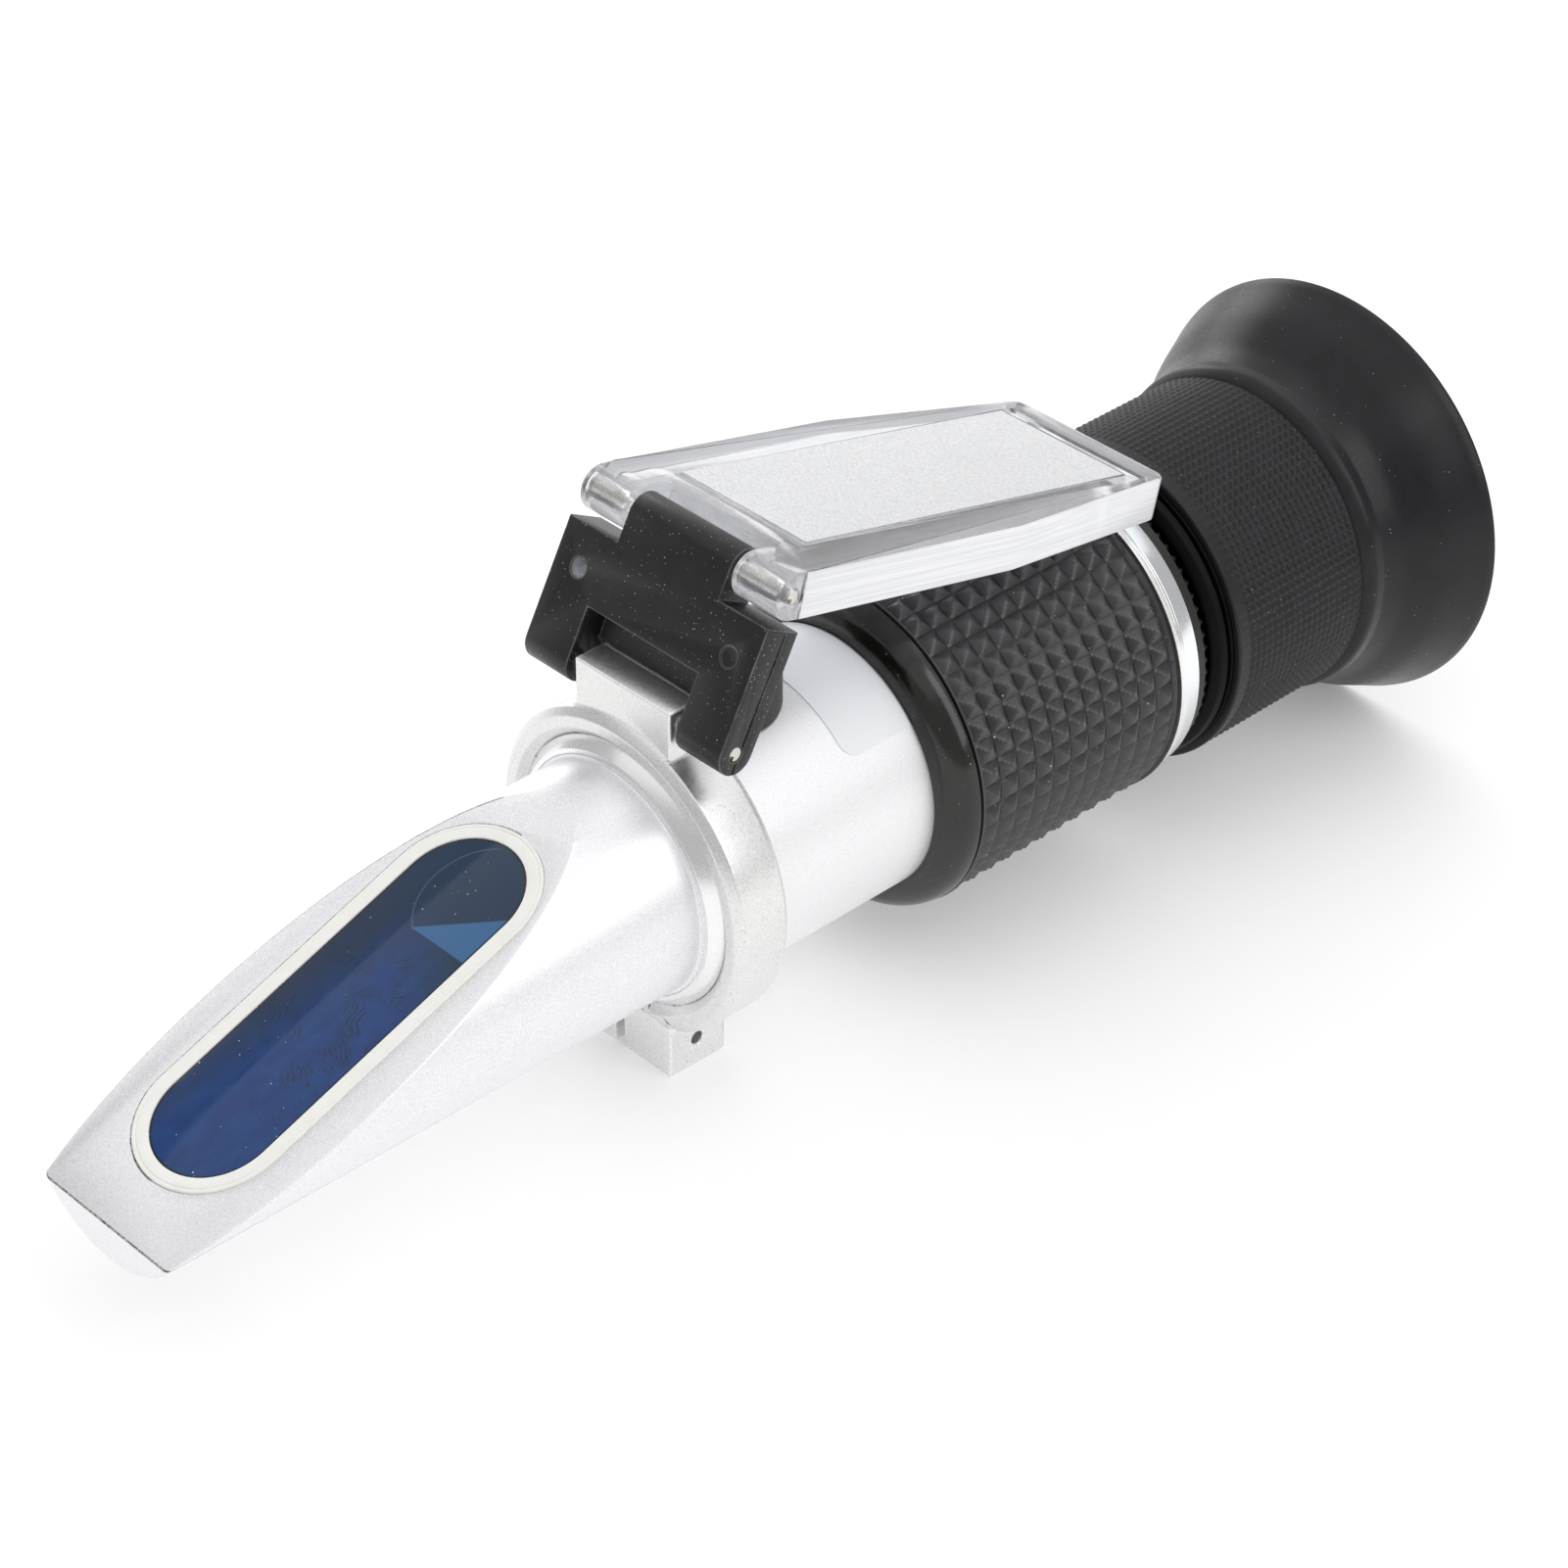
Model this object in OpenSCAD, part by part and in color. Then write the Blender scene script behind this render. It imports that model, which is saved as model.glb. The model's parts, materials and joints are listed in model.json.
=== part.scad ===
// Hand refractometer: prism tube, clamp ring with a two-pin cover hinge, gripped
// main tube, calibration screw and focusing eyepiece. Stations are measured along the
// optical axis from the front face of the clamp ring, towards the eyepiece.

/* [Prism tube] */
// Length of the prism tube in front of the clamp ring
nose_len = 59.5; // [57:0.5:61]
// Radius of the prism tube at its tip
tip_r = 11.4; // [11.2:0.1:11.8]
// Radius of the prism tube where it enters the main tube
shoulder_r = 12; // [11.6:0.1:12.2]
// Slope of the flat prism face against the optical axis, in degrees
face_angle = 19.7; // [19.3:0.1:20.2]
// Depth of the face's tip edge below the optical axis
face_drop = 7.1; // [6.8:0.1:7.4]
// Thickness of the tube's wall under the face and at its tip
face_wall = 1.6; // [1.2:0.1:2]

/* [Prism window] */
// Distance from the tip edge to the window, along the face
window_start = 7.1; // [6:0.1:8]
// Length of the window
window_len = 42.4; // [38:0.2:43]
// Half of the window's width, which is also its end radius
window_r = 6.4; // [5.8:0.1:6.6]
// Width of the sealing ring around the prism
seal_w = 1.6; // [1.2:0.1:1.8]
// Height of the sealing ring above the face
seal_proud = 0.2; // [0.1:0.05:0.3]

/* [Main tube] */
// Outer radius of the main tube
tube_r = 13.85; // [13.8:0.05:14.1]
// Bore radius of the main tube
tube_bore_r = 12.4; // [12.3:0.05:12.5]
// Station where the main tube ends
tube_end = 62; // [61:0.5:62]
// Station where the rubber grip starts
grip_start = 31.2; // [31:0.1:33]
// Station where the rubber grip ends
grip_end = 59; // [58:0.5:59]
// Outer radius of the rubber grip
grip_r = 17.2; // [16.8:0.1:17.2]
// Station where the bezel ring in front of the grip starts
bezel_start = 27.8; // [27.5:0.1:28.2]

/* [Clamp ring] */
// Outer radius of the clamp ring
ring_r = 16.7; // [16.4:0.1:16.8]
// Width of the clamp ring along the tube
ring_w = 6.6; // [6.4:0.1:6.8]
// Half width of the hinge bracket on top of the ring
bracket_half = 6.4; // [6:0.1:6.6]
// Height of the bracket's top above the optical axis
bracket_top = 20.7; // [20.3:0.1:20.9]
// Half width of the split lug under the ring
lug_half = 7.2; // [6.8:0.1:7.4]
// Depth of the lug's flat underside below the optical axis
lug_drop = 20.2; // [19.8:0.1:20.8]

/* [Cover hinge] */
// Station of the lower hinge pin
pin_x = 2.87; // [2.8:0.01:2.95]
// Height of the lower hinge pin above the optical axis
pin_z = 18.9; // [18.8:0.05:19]
// Lean of the open link towards the eyepiece, in degrees
link_lean = 28.5; // [28.3:0.1:28.7]
// Distance between the two hinge pins
pin_gap = 15.2; // [15.1:0.05:15.3]
// Thickness of the link
link_t = 4.2; // [4:0.1:4.2]
// Half width of the link
link_half = 13.2; // [12.8:0.1:13.4]
// Radius of the hinge pins
pin_r = 0.75; // [0.6:0.05:0.8]

/* [Daylight plate] */
// Downward slope of the open plate towards the eyepiece, in degrees
plate_slope = 14.3; // [14.1:0.05:14.4]
// Thickness of the plate
plate_t = 4.6; // [4.4:0.1:4.6]
// Half width of the plate at the hinge
plate_half = 13.1; // [12.8:0.1:13.3]
// Half width of the plate at its free end
plate_end_half = 9.9; // [9:0.1:11]
// Length of the plate from the pin to its free end
plate_len = 53.9; // [53:0.1:54.5]

/* [Eyepiece] */
// Station where the focusing sleeve starts
sleeve_start = 67.3; // [67:0.1:68]
// Outer radius of the knurled sleeve
sleeve_r = 17.3; // [17:0.1:17.6]
// Station of the eyecup's rim
rim_x = 100.2; // [99:0.2:101]
// Radius of the eyecup's rim
rim_r = 23; // [22.5:0.1:23]

/* [Calibration] */
// Station of the calibration screw
cal_x = 13.3; // [13.1:0.1:13.5]
// Radius of the rubber cap over the calibration screw
cap_r = 5.7; // [5.4:0.1:5.8]
// Height of the cap's top above the optical axis
cap_top = 18.6; // [18.2:0.1:18.8]

/* [Hidden] */
$fn = 96;

eps = 0.01;          // overlap that joins two solids of one piece
fit = 0.02;          // gap between fixed pieces that are pressed or screwed together
run = 0.05;          // radial gap of a running fit
across_all = 20;     // farther from the axis than any piece's side
face_reach = 90;     // longer than the prism face
face_lead = 10;      // how far a cut along the face starts before its tip edge

mid_x = (rim_x - nose_len) / 2;
spigot_end = 9;
spigot_r = tube_bore_r - fit;
cavity_r = 10;
seal_depth = 0.8;
wedge_half = 6;
clamp_r = tube_r + fit;
clamp_screw_z = -17.2;
clamp_screw_r = 0.95;
clamp_head_r = 1.8;
clamp_head_y = 5.6;  // where the head's counterbore starts

bush_r = 2.9;
baffle_end = 9.8;
guide_end = 16.8;
carrier_half = 6.5;
carrier_top = 9.4;
carrier_bottom = -6.5;
strip_t = 0.6;
strip_start = 10.8;
strip_half = 3;
strip_screw_r = 0.5;
strip_screw_x = [12.2, 14.6];
cal_seat_z = 14;     // where the calibration screw's head rests in its bush
cal_head_r = 2;
cal_neck_r = 1.25;
cal_thread_r = 1;
cell_start = 31;
cell_end = 35.5;
cell_r = 6.5;
cell_step = 0.8;
objective_r = 5.5;   // bore of the objective's cell

reticle_x = 55;
reticle_t = 1.2;
holder_start = 52;
holder_end = 58;

guide_r = 13.4;
guide_bore_r = 10.55;
guide_rear = 84.6;
collar_start = 65;
core_r = 15.6;
focus_end = 86;
throat_r = 11.4;
barrel_start = 70.5;
barrel_end = 88;
barrel_r = guide_bore_r - run;
barrel_bore_r = 9.4;
barrel_lip = 1.2;
key_x = 74;
key_r = 1;
key_travel = 2.2;    // the focusing travel each way, and a little more

half_link = link_t / 2;
shoulder_u = 12.1;   // where the link narrows to its tongue
slot_u = 5.3;        // where the link's slot ends above the lower pin
slot_half = 7.4;
web_u = 1.7;         // where the thin web that closes the back of the slot starts
web_t = 1.2;
web_hollow_r = 2.6;  // the web's underside, hollowed round the lower pin to clear the bracket
tongue_half = 6.7;
upper_x = pin_x + pin_gap * sin(link_lean);
upper_z = pin_z + pin_gap * cos(link_lean);

half_plate = plate_t / 2;
ear_in = 7.2;        // inner side of the plate's hinge ears
ear_len = 3.3;
taper_start = 29.5;
pad_start = 5.5;
pad_end = 49.5;
pad_half = 8.3;
pad_h = 0.2;

// Moves a shape from the optical axis to the part's frame, which stands on z = 0.
module on_axis() {
    translate([-mid_x, 0, rim_r]) children();
}

// Frame of the prism face: x runs up the face from the tip edge, z points out of it.
module on_face() {
    on_axis() translate([-nose_len, 0, -face_drop]) rotate([0, -face_angle, 0]) children();
}

// Frame of the open link: z runs from the lower pin to the upper pin, x to the back.
module on_link() {
    on_axis() translate([pin_x, 0, pin_z]) rotate([0, link_lean, 0]) children();
}

// Frame of the open plate: x runs from the upper pin to the free end.
module on_plate() {
    on_axis() translate([upper_x, 0, upper_z]) rotate([0, plate_slope, 0]) children();
}

// Solid of revolution about the optical axis, from [radius, station] points.
module turned(points) {
    on_axis() rotate([0, 90, 0]) rotate_extrude() polygon(points);
}

// Plain ring between two stations.
module ring(r_in, r_out, x0, x1) {
    turned([[r_in, x0], [r_out, x0], [r_out, x1], [r_in, x1]]);
}

// Cylinder across the part, from side y0 to side y1.
module across(r, y0, y1) {
    translate([0, y1, 0]) rotate([90, 0, 0]) cylinder(r = r, h = y1 - y0);
}

// Slot outline that starts at x = 0 and has round ends.
module stadium(r, len) {
    translate([r, 0]) circle(r);
    translate([len - r, 0]) circle(r);
    translate([r, -r]) square([len - 2 * r, 2 * r]);
}

// The window's outline on the face, grown by a margin and extruded from z0 to z1.
module window(margin, z0, z1) {
    on_face() translate([window_start - margin, 0, z0])
        linear_extrude(z1 - z0) stadium(window_r + margin, window_len + 2 * margin);
}

// Everything above the prism face, lowered by a depth.
module above_face(depth) {
    on_face() translate([-face_lead, -face_reach / 2, -depth])
        cube([face_reach, face_reach, face_reach / 2]);
}

// Points of a circle's arc as [radius, station] pairs.
function arc(r0, x0, rad, a0, a1, steps) =
    [for (i = [0:steps]) let (a = a0 + (a1 - a0) * i / steps) [r0 + rad * cos(a), x0 + rad * sin(a)]];

// Biconvex lens on the optical axis, as the solid of revolution of two shallow arcs.
module lens(r, x, edge, sag) {
    ball_r = (r * r + sag * sag) / (2 * sag);
    half_angle = asin(r / ball_r);
    turned(concat(
        arc(0, x - sag + ball_r, ball_r, -90, half_angle - 90, 6),
        arc(0, x + edge + sag - ball_r, ball_r, 90 - half_angle, 90, 6)));
}

// Front housing: a tapered tube whose top is cut off along the sloping face.
module prism_tube() {
    tip_chamfer = 0.6;
    step_x = -0.5;
    color("gainsboro") difference() {
        turned([[0, -nose_len], [tip_r - tip_chamfer, -nose_len], [tip_r, -nose_len + tip_chamfer],
                [shoulder_r, step_x], [spigot_r, step_x + run], [spigot_r, spigot_end], [0, spigot_end]]);
        above_face(0);
        difference() {
            turned([[0, -nose_len + face_wall], [cavity_r, -nose_len + face_wall], [cavity_r, spigot_end + 1],
                    [0, spigot_end + 1]]);
            above_face(face_wall);
        }
        window(0, -face_wall - 1, 1);
        window(seal_w, -seal_depth, 1);
    }
}

// Glass prism: a slab that fills the window, with a wedge and its exit facet below.
module prism() {
    wedge_from = window_start + 1.9;
    wedge_to = window_start + window_len - 2.5;
    wedge_foot = 34;
    wedge_depth = 9.4;
    color([0.13, 0.19, 0.36, 0.85]) union() {
        window(-fit, -face_wall, 0.05);
        intersection() {
            window(-fit, -wedge_depth - 1, -1);
            on_face() rotate([90, 0, 0]) translate([0, 0, -wedge_half]) linear_extrude(2 * wedge_half)
                polygon([[wedge_from, -1], [wedge_from, -3.4], [wedge_foot, -wedge_depth],
                         [wedge_to, -face_wall], [wedge_to, -1]]);
        }
    }
}

// Cream sealing ring between the prism and the housing.
module prism_seal() {
    color("ivory") difference() {
        window(seal_w - fit, -seal_depth + fit, seal_proud);
        window(0, -1, 1);
    }
}

// Blackened disc with a square light opening behind the prism.
module light_baffle() {
    opening = 8;
    color([0.08, 0.08, 0.08]) difference() {
        ring(0, spigot_r, spigot_end, baffle_end);
        on_axis() translate([spigot_end - 1, -opening / 2, -opening / 2]) cube([3, opening, opening]);
    }
}

// Main tube with a chamfered nose and the hole for the calibration bush.
module main_tube() {
    nose_x = -0.4;
    nose_chamfer = 1.1;
    color("silver") difference() {
        turned([[tube_bore_r, nose_x], [12.9, nose_x], [tube_r, nose_x + nose_chamfer],
                [tube_r, tube_end], [tube_bore_r, tube_end]]);
        on_axis() translate([cal_x, 0, 0]) cylinder(r = bush_r, h = across_all);
    }
}

// Foil label without any print, wrapped over the top of the main tube.
module blank_label() {
    foil = 0.1;
    half_angle = 50;
    label_start = 19.3;
    color([0.82, 0.83, 0.85]) on_axis() rotate([0, 90, 0]) rotate([0, 0, 180 - half_angle])
        rotate_extrude(angle = 2 * half_angle)
        translate([tube_r, label_start]) square([foil, bezel_start - 0.2 - label_start]);
}

// Cast ring with the hinge bracket on top and the split clamp lug below.
module clamp_ring() {
    chamfer = 0.8;
    lead_in = 0.9;
    split = 1.2;
    knuckle_r = 3.8;
    knuckle_x = 2.2;
    bracket_x = 1;
    bracket_w = 4.2;
    bracket_foot = tube_r + 0.6;
    lug_proud = 0.2;
    driver_hole_r = 0.7;
    color([0.74, 0.74, 0.72]) difference() {
        union() {
            turned([[clamp_r, lead_in], [clamp_r + lead_in, 0], [ring_r - chamfer, 0], [ring_r, chamfer],
                    [ring_r, ring_w - chamfer], [ring_r - chamfer, ring_w], [clamp_r, ring_w]]);
            on_axis() intersection() {
                translate([bracket_x, -bracket_half, bracket_foot])
                    cube([bracket_w, 2 * bracket_half, bracket_top - bracket_foot]);
                translate([knuckle_x, 0, bracket_top + 0.1 - knuckle_r])
                    across(knuckle_r, -bracket_half, bracket_half);
            }
            on_axis() translate([bracket_x, -bracket_half, bracket_foot])
                cube([bracket_w, 2 * bracket_half, knuckle_r - lug_proud]);
            on_axis() translate([-lug_proud, -lug_half, -lug_drop])
                cube([ring_w + 2 * lug_proud, 2 * lug_half, 6]);
        }
        ring(0, clamp_r, -1, ring_w + 1);
        on_axis() translate([-1, -split / 2, -lug_drop - 1]) cube([ring_w + 2, split, 8]);
        on_axis() translate([pin_x, 0, pin_z]) across(pin_r + run, -across_all, across_all);
        on_axis() translate([ring_w / 2, 0, clamp_screw_z]) {
            across(driver_hole_r, -across_all, 0);
            across(clamp_screw_r + fit, 0.4 - clamp_head_y, across_all);
            across(clamp_head_r + fit, clamp_head_y, across_all);
        }
    }
}

// Socket screw that pulls the lug's halves together.
module clamp_screw() {
    head_h = 1.5;
    socket_r = 1;
    socket_depth = 0.9;
    color("dimgray") on_axis() translate([ring_w / 2, 0, clamp_screw_z]) difference() {
        union() {
            across(clamp_screw_r, 0.5 - clamp_head_y, clamp_head_y + run);
            across(clamp_head_r, clamp_head_y + fit, clamp_head_y + head_h);
        }
        translate([0, clamp_head_y + head_h - socket_depth, 0]) rotate([-90, 0, 0])
            linear_extrude(2 * socket_depth) circle(r = socket_r, $fn = 6);
    }
}

// Glossy quarter-round ring in front of the grip.
module bezel_ring() {
    bulge = 3.1;
    color([0.05, 0.05, 0.06]) turned(concat(
        [[clamp_r, bezel_start]],
        arc(clamp_r + 5 * fit, bezel_start + bulge, bulge, -90, 0, 8),
        [[clamp_r, bezel_start + bulge]]));
}

// Moulded rubber grip; its pyramids are surface texture inside this outline.
module rubber_grip() {
    front_edge = 0.5;
    rear_edge = 0.3;
    color([0.16, 0.16, 0.18]) turned([[clamp_r, grip_start], [grip_r - front_edge, grip_start],
        [grip_r, grip_start + front_edge], [grip_r, grip_end - rear_edge], [grip_r - rear_edge, grip_end],
        [clamp_r, grip_end]]);
}

// Bright ring that closes the grip and narrows towards the eyepiece.
module end_ring() {
    color([0.86, 0.86, 0.88]) difference() {
        turned([[guide_r + fit, grip_end + fit], [16.9, grip_end + fit], [16.9, grip_end + 0.8],
                [16.3, grip_end + 1.3], [15.5, 62.6], [15.1, 63], [14.5, 64.7], [guide_r + fit, 64.7]]);
        ring(0, clamp_r, grip_end - 1, tube_end + fit);
    }
}

// Brass bush in the main tube that holds the calibration screw captive.
module calibration_bush() {
    color("goldenrod") on_axis() translate([cal_x, 0, 0]) difference() {
        translate([0, 0, 11.4]) cylinder(r = bush_r - fit, h = 4.6);
        cylinder(r = cal_neck_r + run, h = across_all);
        translate([0, 0, cal_seat_z]) cylinder(r = cal_head_r + run, h = 4);
    }
}

// Fixed guide whose window lets the lens carrier slide up and down only, bored for the bush.
module carrier_guide() {
    window_half = carrier_half + run;
    window_top = carrier_top + 0.5;
    color([0.12, 0.12, 0.12]) difference() {
        ring(0, spigot_r, baffle_end, guide_end);
        on_axis() translate([baffle_end - 1, -window_half, -window_top])
            cube([guide_end - baffle_end + 2, 2 * window_half, 2 * window_top]);
        on_axis() translate([cal_x, 0, 0]) cylinder(r = bush_r, h = across_all);
    }
}

// Tube insert that carries the scale at the eyepiece's focus.
module reticle_holder() {
    color([0.1, 0.1, 0.1]) turned([[9, holder_start], [spigot_r, holder_start], [spigot_r, holder_end],
        [10.4, holder_end], [10.4, reticle_x], [9, reticle_x]]);
}

// Glass disc that carries the scale.
module reticle() {
    color([0.8, 0.9, 0.95, 0.5]) ring(0, 10.4 - fit, reticle_x, reticle_x + reticle_t);
}

// Threaded ring that holds the scale in its seat.
module reticle_retainer() {
    color("dimgray") ring(9, 10.4 - fit, reticle_x + reticle_t, holder_end - 0.2);
}

// Rear tube that the focus ring turns on, with a straight slot for the key.
module guide_tube() {
    slot_len = 2 * (key_r + key_travel);
    color([0.2, 0.2, 0.21]) difference() {
        turned([[guide_bore_r, holder_end], [spigot_r, holder_end], [spigot_r, tube_end + fit],
                [guide_r, tube_end + fit], [guide_r, guide_rear], [guide_bore_r, guide_rear]]);
        on_axis() translate([key_x - slot_len / 2, -key_r - run, 0]) cube([slot_len, 2 * (key_r + run), 20]);
    }
}

// Ring on the end of the guide tube that keeps the focus ring on.
module focus_retainer() {
    color("dimgray") ring(guide_bore_r, 14.6, guide_rear, focus_end - 0.4);
}

// Black moulded link that carries the plate, straddles the bracket and has a tongue.
module hinge_link() {
    color([0.09, 0.09, 0.1]) on_link() difference() {
        union() {
            translate([-half_link, -link_half, slot_u]) cube([link_t, 2 * link_half, shoulder_u - slot_u]);
            for (side = [-1, 1]) {
                inner = min(side * slot_half, side * link_half);
                translate([-half_link, inner, 0]) cube([link_t, link_half - slot_half, slot_u + eps]);
                across(half_link, inner, inner + link_half - slot_half);
            }
            difference() {
                translate([half_link - web_t, -slot_half - eps, web_u])
                    cube([web_t, 2 * (slot_half + eps), slot_u - web_u + eps]);
                across(web_hollow_r, -slot_half - 1, slot_half + 1);
            }
            translate([-half_link, -tongue_half, shoulder_u - eps])
                cube([link_t, 2 * tongue_half, pin_gap - shoulder_u + eps]);
            translate([0, 0, pin_gap]) across(half_link, -tongue_half, tongue_half);
        }
        across(pin_r, -across_all, across_all);
        translate([0, 0, pin_gap]) across(pin_r, -across_all, across_all);
    }
}

// Pin that is pressed in the link's arms and turns in the bracket.
module lower_hinge_pin() {
    color("lightgray") on_link() across(pin_r, -link_half + 0.1, link_half - 0.1);
}

// Pin that is pressed in the link's tongue and turns in the plate's ears.
module upper_hinge_pin() {
    pin_half = plate_half - 0.6;
    color("lightgray") on_link() translate([0, 0, pin_gap]) across(pin_r, -pin_half, pin_half);
}

// Clear daylight plate with two hinge ears and a frosted pad.
module daylight_plate() {
    color([0.9, 0.93, 0.97, 0.45]) on_plate() difference() {
        union() {
            translate([0, 0, -half_plate]) linear_extrude(plate_t) polygon([
                [0, -plate_half], [taper_start, -plate_half], [plate_len, -plate_end_half],
                [plate_len, plate_end_half], [taper_start, plate_half], [0, plate_half]]);
            across(half_plate, -plate_half, plate_half);
            translate([pad_start, -pad_half, half_plate - eps])
                cube([pad_end - pad_start, 2 * pad_half, pad_h + eps]);
        }
        translate([-5, -ear_in, -5]) cube([5 + ear_len, 2 * ear_in, 10]);
        across(pin_r + run, -across_all, across_all);
    }
}

// Rubber cap that sits on the tube over the calibration screw.
module calibration_cap() {
    seat_gap = 0.15;
    bevel_h = 1.4;
    bevel_w = 1.8;
    skirt_z = 8;
    color([0.1, 0.1, 0.1]) difference() {
        on_axis() translate([cal_x, 0, 0]) {
            translate([0, 0, skirt_z]) cylinder(r = cap_r, h = cap_top - bevel_h - skirt_z);
            translate([0, 0, cap_top - bevel_h]) cylinder(r1 = cap_r, r2 = cap_r - bevel_w, h = bevel_h);
        }
        ring(0, tube_r + seat_gap, 0, 2 * cal_x);
        on_axis() translate([cal_x, 0, 0]) cylinder(r = bush_r + 0.1, h = 16.3);
    }
}

// Slotted brass screw, captive in its bush, whose thread moves the lens carrier.
module calibration_screw() {
    head_h = 1.7;
    slot_w = 0.6;
    slot_depth = 0.6;
    color("gold") on_axis() translate([cal_x, 0, 0]) difference() {
        union() {
            translate([0, 0, cal_seat_z + run]) cylinder(r = cal_head_r, h = head_h);
            translate([0, 0, cal_seat_z - 3.4]) cylinder(r = cal_neck_r, h = 4);
            translate([0, 0, cal_seat_z - 7.8]) cylinder(r = cal_thread_r, h = 5);
        }
        translate([-cal_head_r - 1, -slot_w / 2, cal_seat_z + head_h - slot_depth])
            cube([2 * cal_head_r + 2, slot_w, 2 * slot_depth]);
    }
}

// Block that the calibration screw raises and lowers inside its guide.
module lens_carrier() {
    carrier_start = 10.2;
    carrier_len = 6;
    light_r = 4.8;
    color([0.15, 0.15, 0.16]) on_axis() difference() {
        translate([carrier_start, -carrier_half, carrier_bottom])
            cube([carrier_len, 2 * carrier_half, carrier_top - carrier_bottom]);
        translate([carrier_start - 1, 0, 0]) rotate([0, 90, 0]) cylinder(r = light_r, h = carrier_len + 2);
        translate([cal_x, 0, 5.6]) cylinder(r = cal_thread_r + run, h = 8);
        for (x = strip_screw_x)
            translate([x, 0, carrier_bottom - 1]) cylinder(r = strip_screw_r + eps, h = 2.4);
    }
}

// Two-metal strip that bends with temperature and carries the objective.
module bimetal_strip() {
    color("peru") on_axis() difference() {
        translate([strip_start, -strip_half, carrier_bottom - strip_t])
            cube([cell_end - strip_start, 2 * strip_half, strip_t]);
        for (x = strip_screw_x)
            translate([x, 0, carrier_bottom - 1]) cylinder(r = strip_screw_r + eps, h = 2);
    }
}

// Pair of small screws that fasten the strip under the carrier.
module strip_screws() {
    head_r = 1;
    head_h = 0.7;
    color("gray") on_axis() for (x = strip_screw_x) translate([x, 0, carrier_bottom - strip_t]) {
        translate([0, 0, -head_h]) cylinder(r = head_r, h = head_h);
        cylinder(r = strip_screw_r, h = strip_t + 1.2);
    }
}

// Ring on the strip's end that holds the objective.
module objective_cell() {
    stop_r = 4.6;
    color("darkgoldenrod") turned([[stop_r, cell_start], [cell_r, cell_start], [cell_r, cell_end],
        [objective_r, cell_end], [objective_r, cell_start + cell_step], [stop_r, cell_start + cell_step]]);
}

// Objective that throws the shadow line on the scale.
module objective_lens() {
    color([0.75, 0.88, 0.95, 0.5]) lens(objective_r - fit, cell_start + 2 * cell_step, 1.6, 0.7);
}

// Moulded ring that turns on the guide tube, with the key's groove inside.
module focus_ring() {
    groove_half = key_r + key_travel;
    color([0.07, 0.07, 0.08]) turned([
        [guide_r + run, collar_start], [14.7, collar_start], [16.2, collar_start + 0.9],
        [16.2, collar_start + 1.3], [15.4, collar_start + 1.4], [15.4, collar_start + 1.8],
        [16.7, collar_start + 1.9], [16.7, sleeve_start], [core_r, sleeve_start],
        [core_r, focus_end], [14.8, focus_end], [14.8, guide_rear - 0.6], [guide_r + run, guide_rear - 0.6],
        [guide_r + run, key_x + groove_half], [14.5, key_x + groove_half],
        [14.5, key_x - groove_half], [guide_r + run, key_x - groove_half]]);
}

// One-piece rubber sleeve and eyecup.
module eyecup() {
    neck_x = 87.5;
    color([0.13, 0.13, 0.14]) turned([
        [core_r + eps, sleeve_start + eps], [sleeve_r - 0.3, sleeve_start + eps],
        [sleeve_r, sleeve_start + 0.3], [sleeve_r, neck_x - 1.2],
        [sleeve_r + 0.8, neck_x - 0.6], [sleeve_r + 0.8, neck_x + 0.6],
        [sleeve_r + 0.7, neck_x + 1.4], [sleeve_r + 1.5, neck_x + 3.5], [sleeve_r + 3.6, neck_x + 7.5],
        [rim_r - 0.7, rim_x - 2], [rim_r, rim_x - 0.8], [rim_r, rim_x - 0.2], [rim_r - 0.2, rim_x],
        [rim_r - 1.2, rim_x], [rim_r - 2.2, rim_x - 2.4], [18, neck_x + 6.2], [14.6, neck_x + 3],
        [throat_r, neck_x + 1.8], [throat_r, focus_end + eps], [core_r + eps, focus_end + eps]]);
}

// Sliding barrel with the two eyepiece lenses.
module ocular_barrel() {
    lip_r = 8.2;
    color([0.1, 0.1, 0.1]) difference() {
        turned([[lip_r, barrel_start], [barrel_r, barrel_start], [barrel_r, barrel_end],
                [barrel_bore_r, barrel_end], [barrel_bore_r, barrel_start + barrel_lip],
                [lip_r, barrel_start + barrel_lip]]);
        on_axis() translate([key_x, 0, 8]) cylinder(r = key_r - fit, h = 10);
    }
}

// Front lens of the eyepiece.
module field_lens() {
    color([0.78, 0.88, 0.95, 0.5]) lens(barrel_bore_r - fit, barrel_start + barrel_lip + 1.4, 1.2, 1.2);
}

// Ring that sets the distance between the eyepiece lenses.
module lens_spacer() {
    color("gray") ring(8.6, barrel_bore_r - fit, barrel_start + 5.2, 81);
}

// Rear lens of the eyepiece.
module eye_lens() {
    color([0.78, 0.88, 0.95, 0.5]) lens(barrel_bore_r - fit, 82.4, 1.6, 1.2);
}

// Threaded ring behind the eye lens.
module eye_lens_retainer() {
    color([0.12, 0.12, 0.12]) ring(8.4, barrel_bore_r - fit, 85.4, barrel_end - 0.4);
}

// Screw through the guide tube's slot that keeps the barrel from turning.
module focus_key() {
    color("goldenrod") on_axis() translate([key_x, 0, 9.5]) cylinder(r = key_r - fit, h = 4.7);
}

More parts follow.
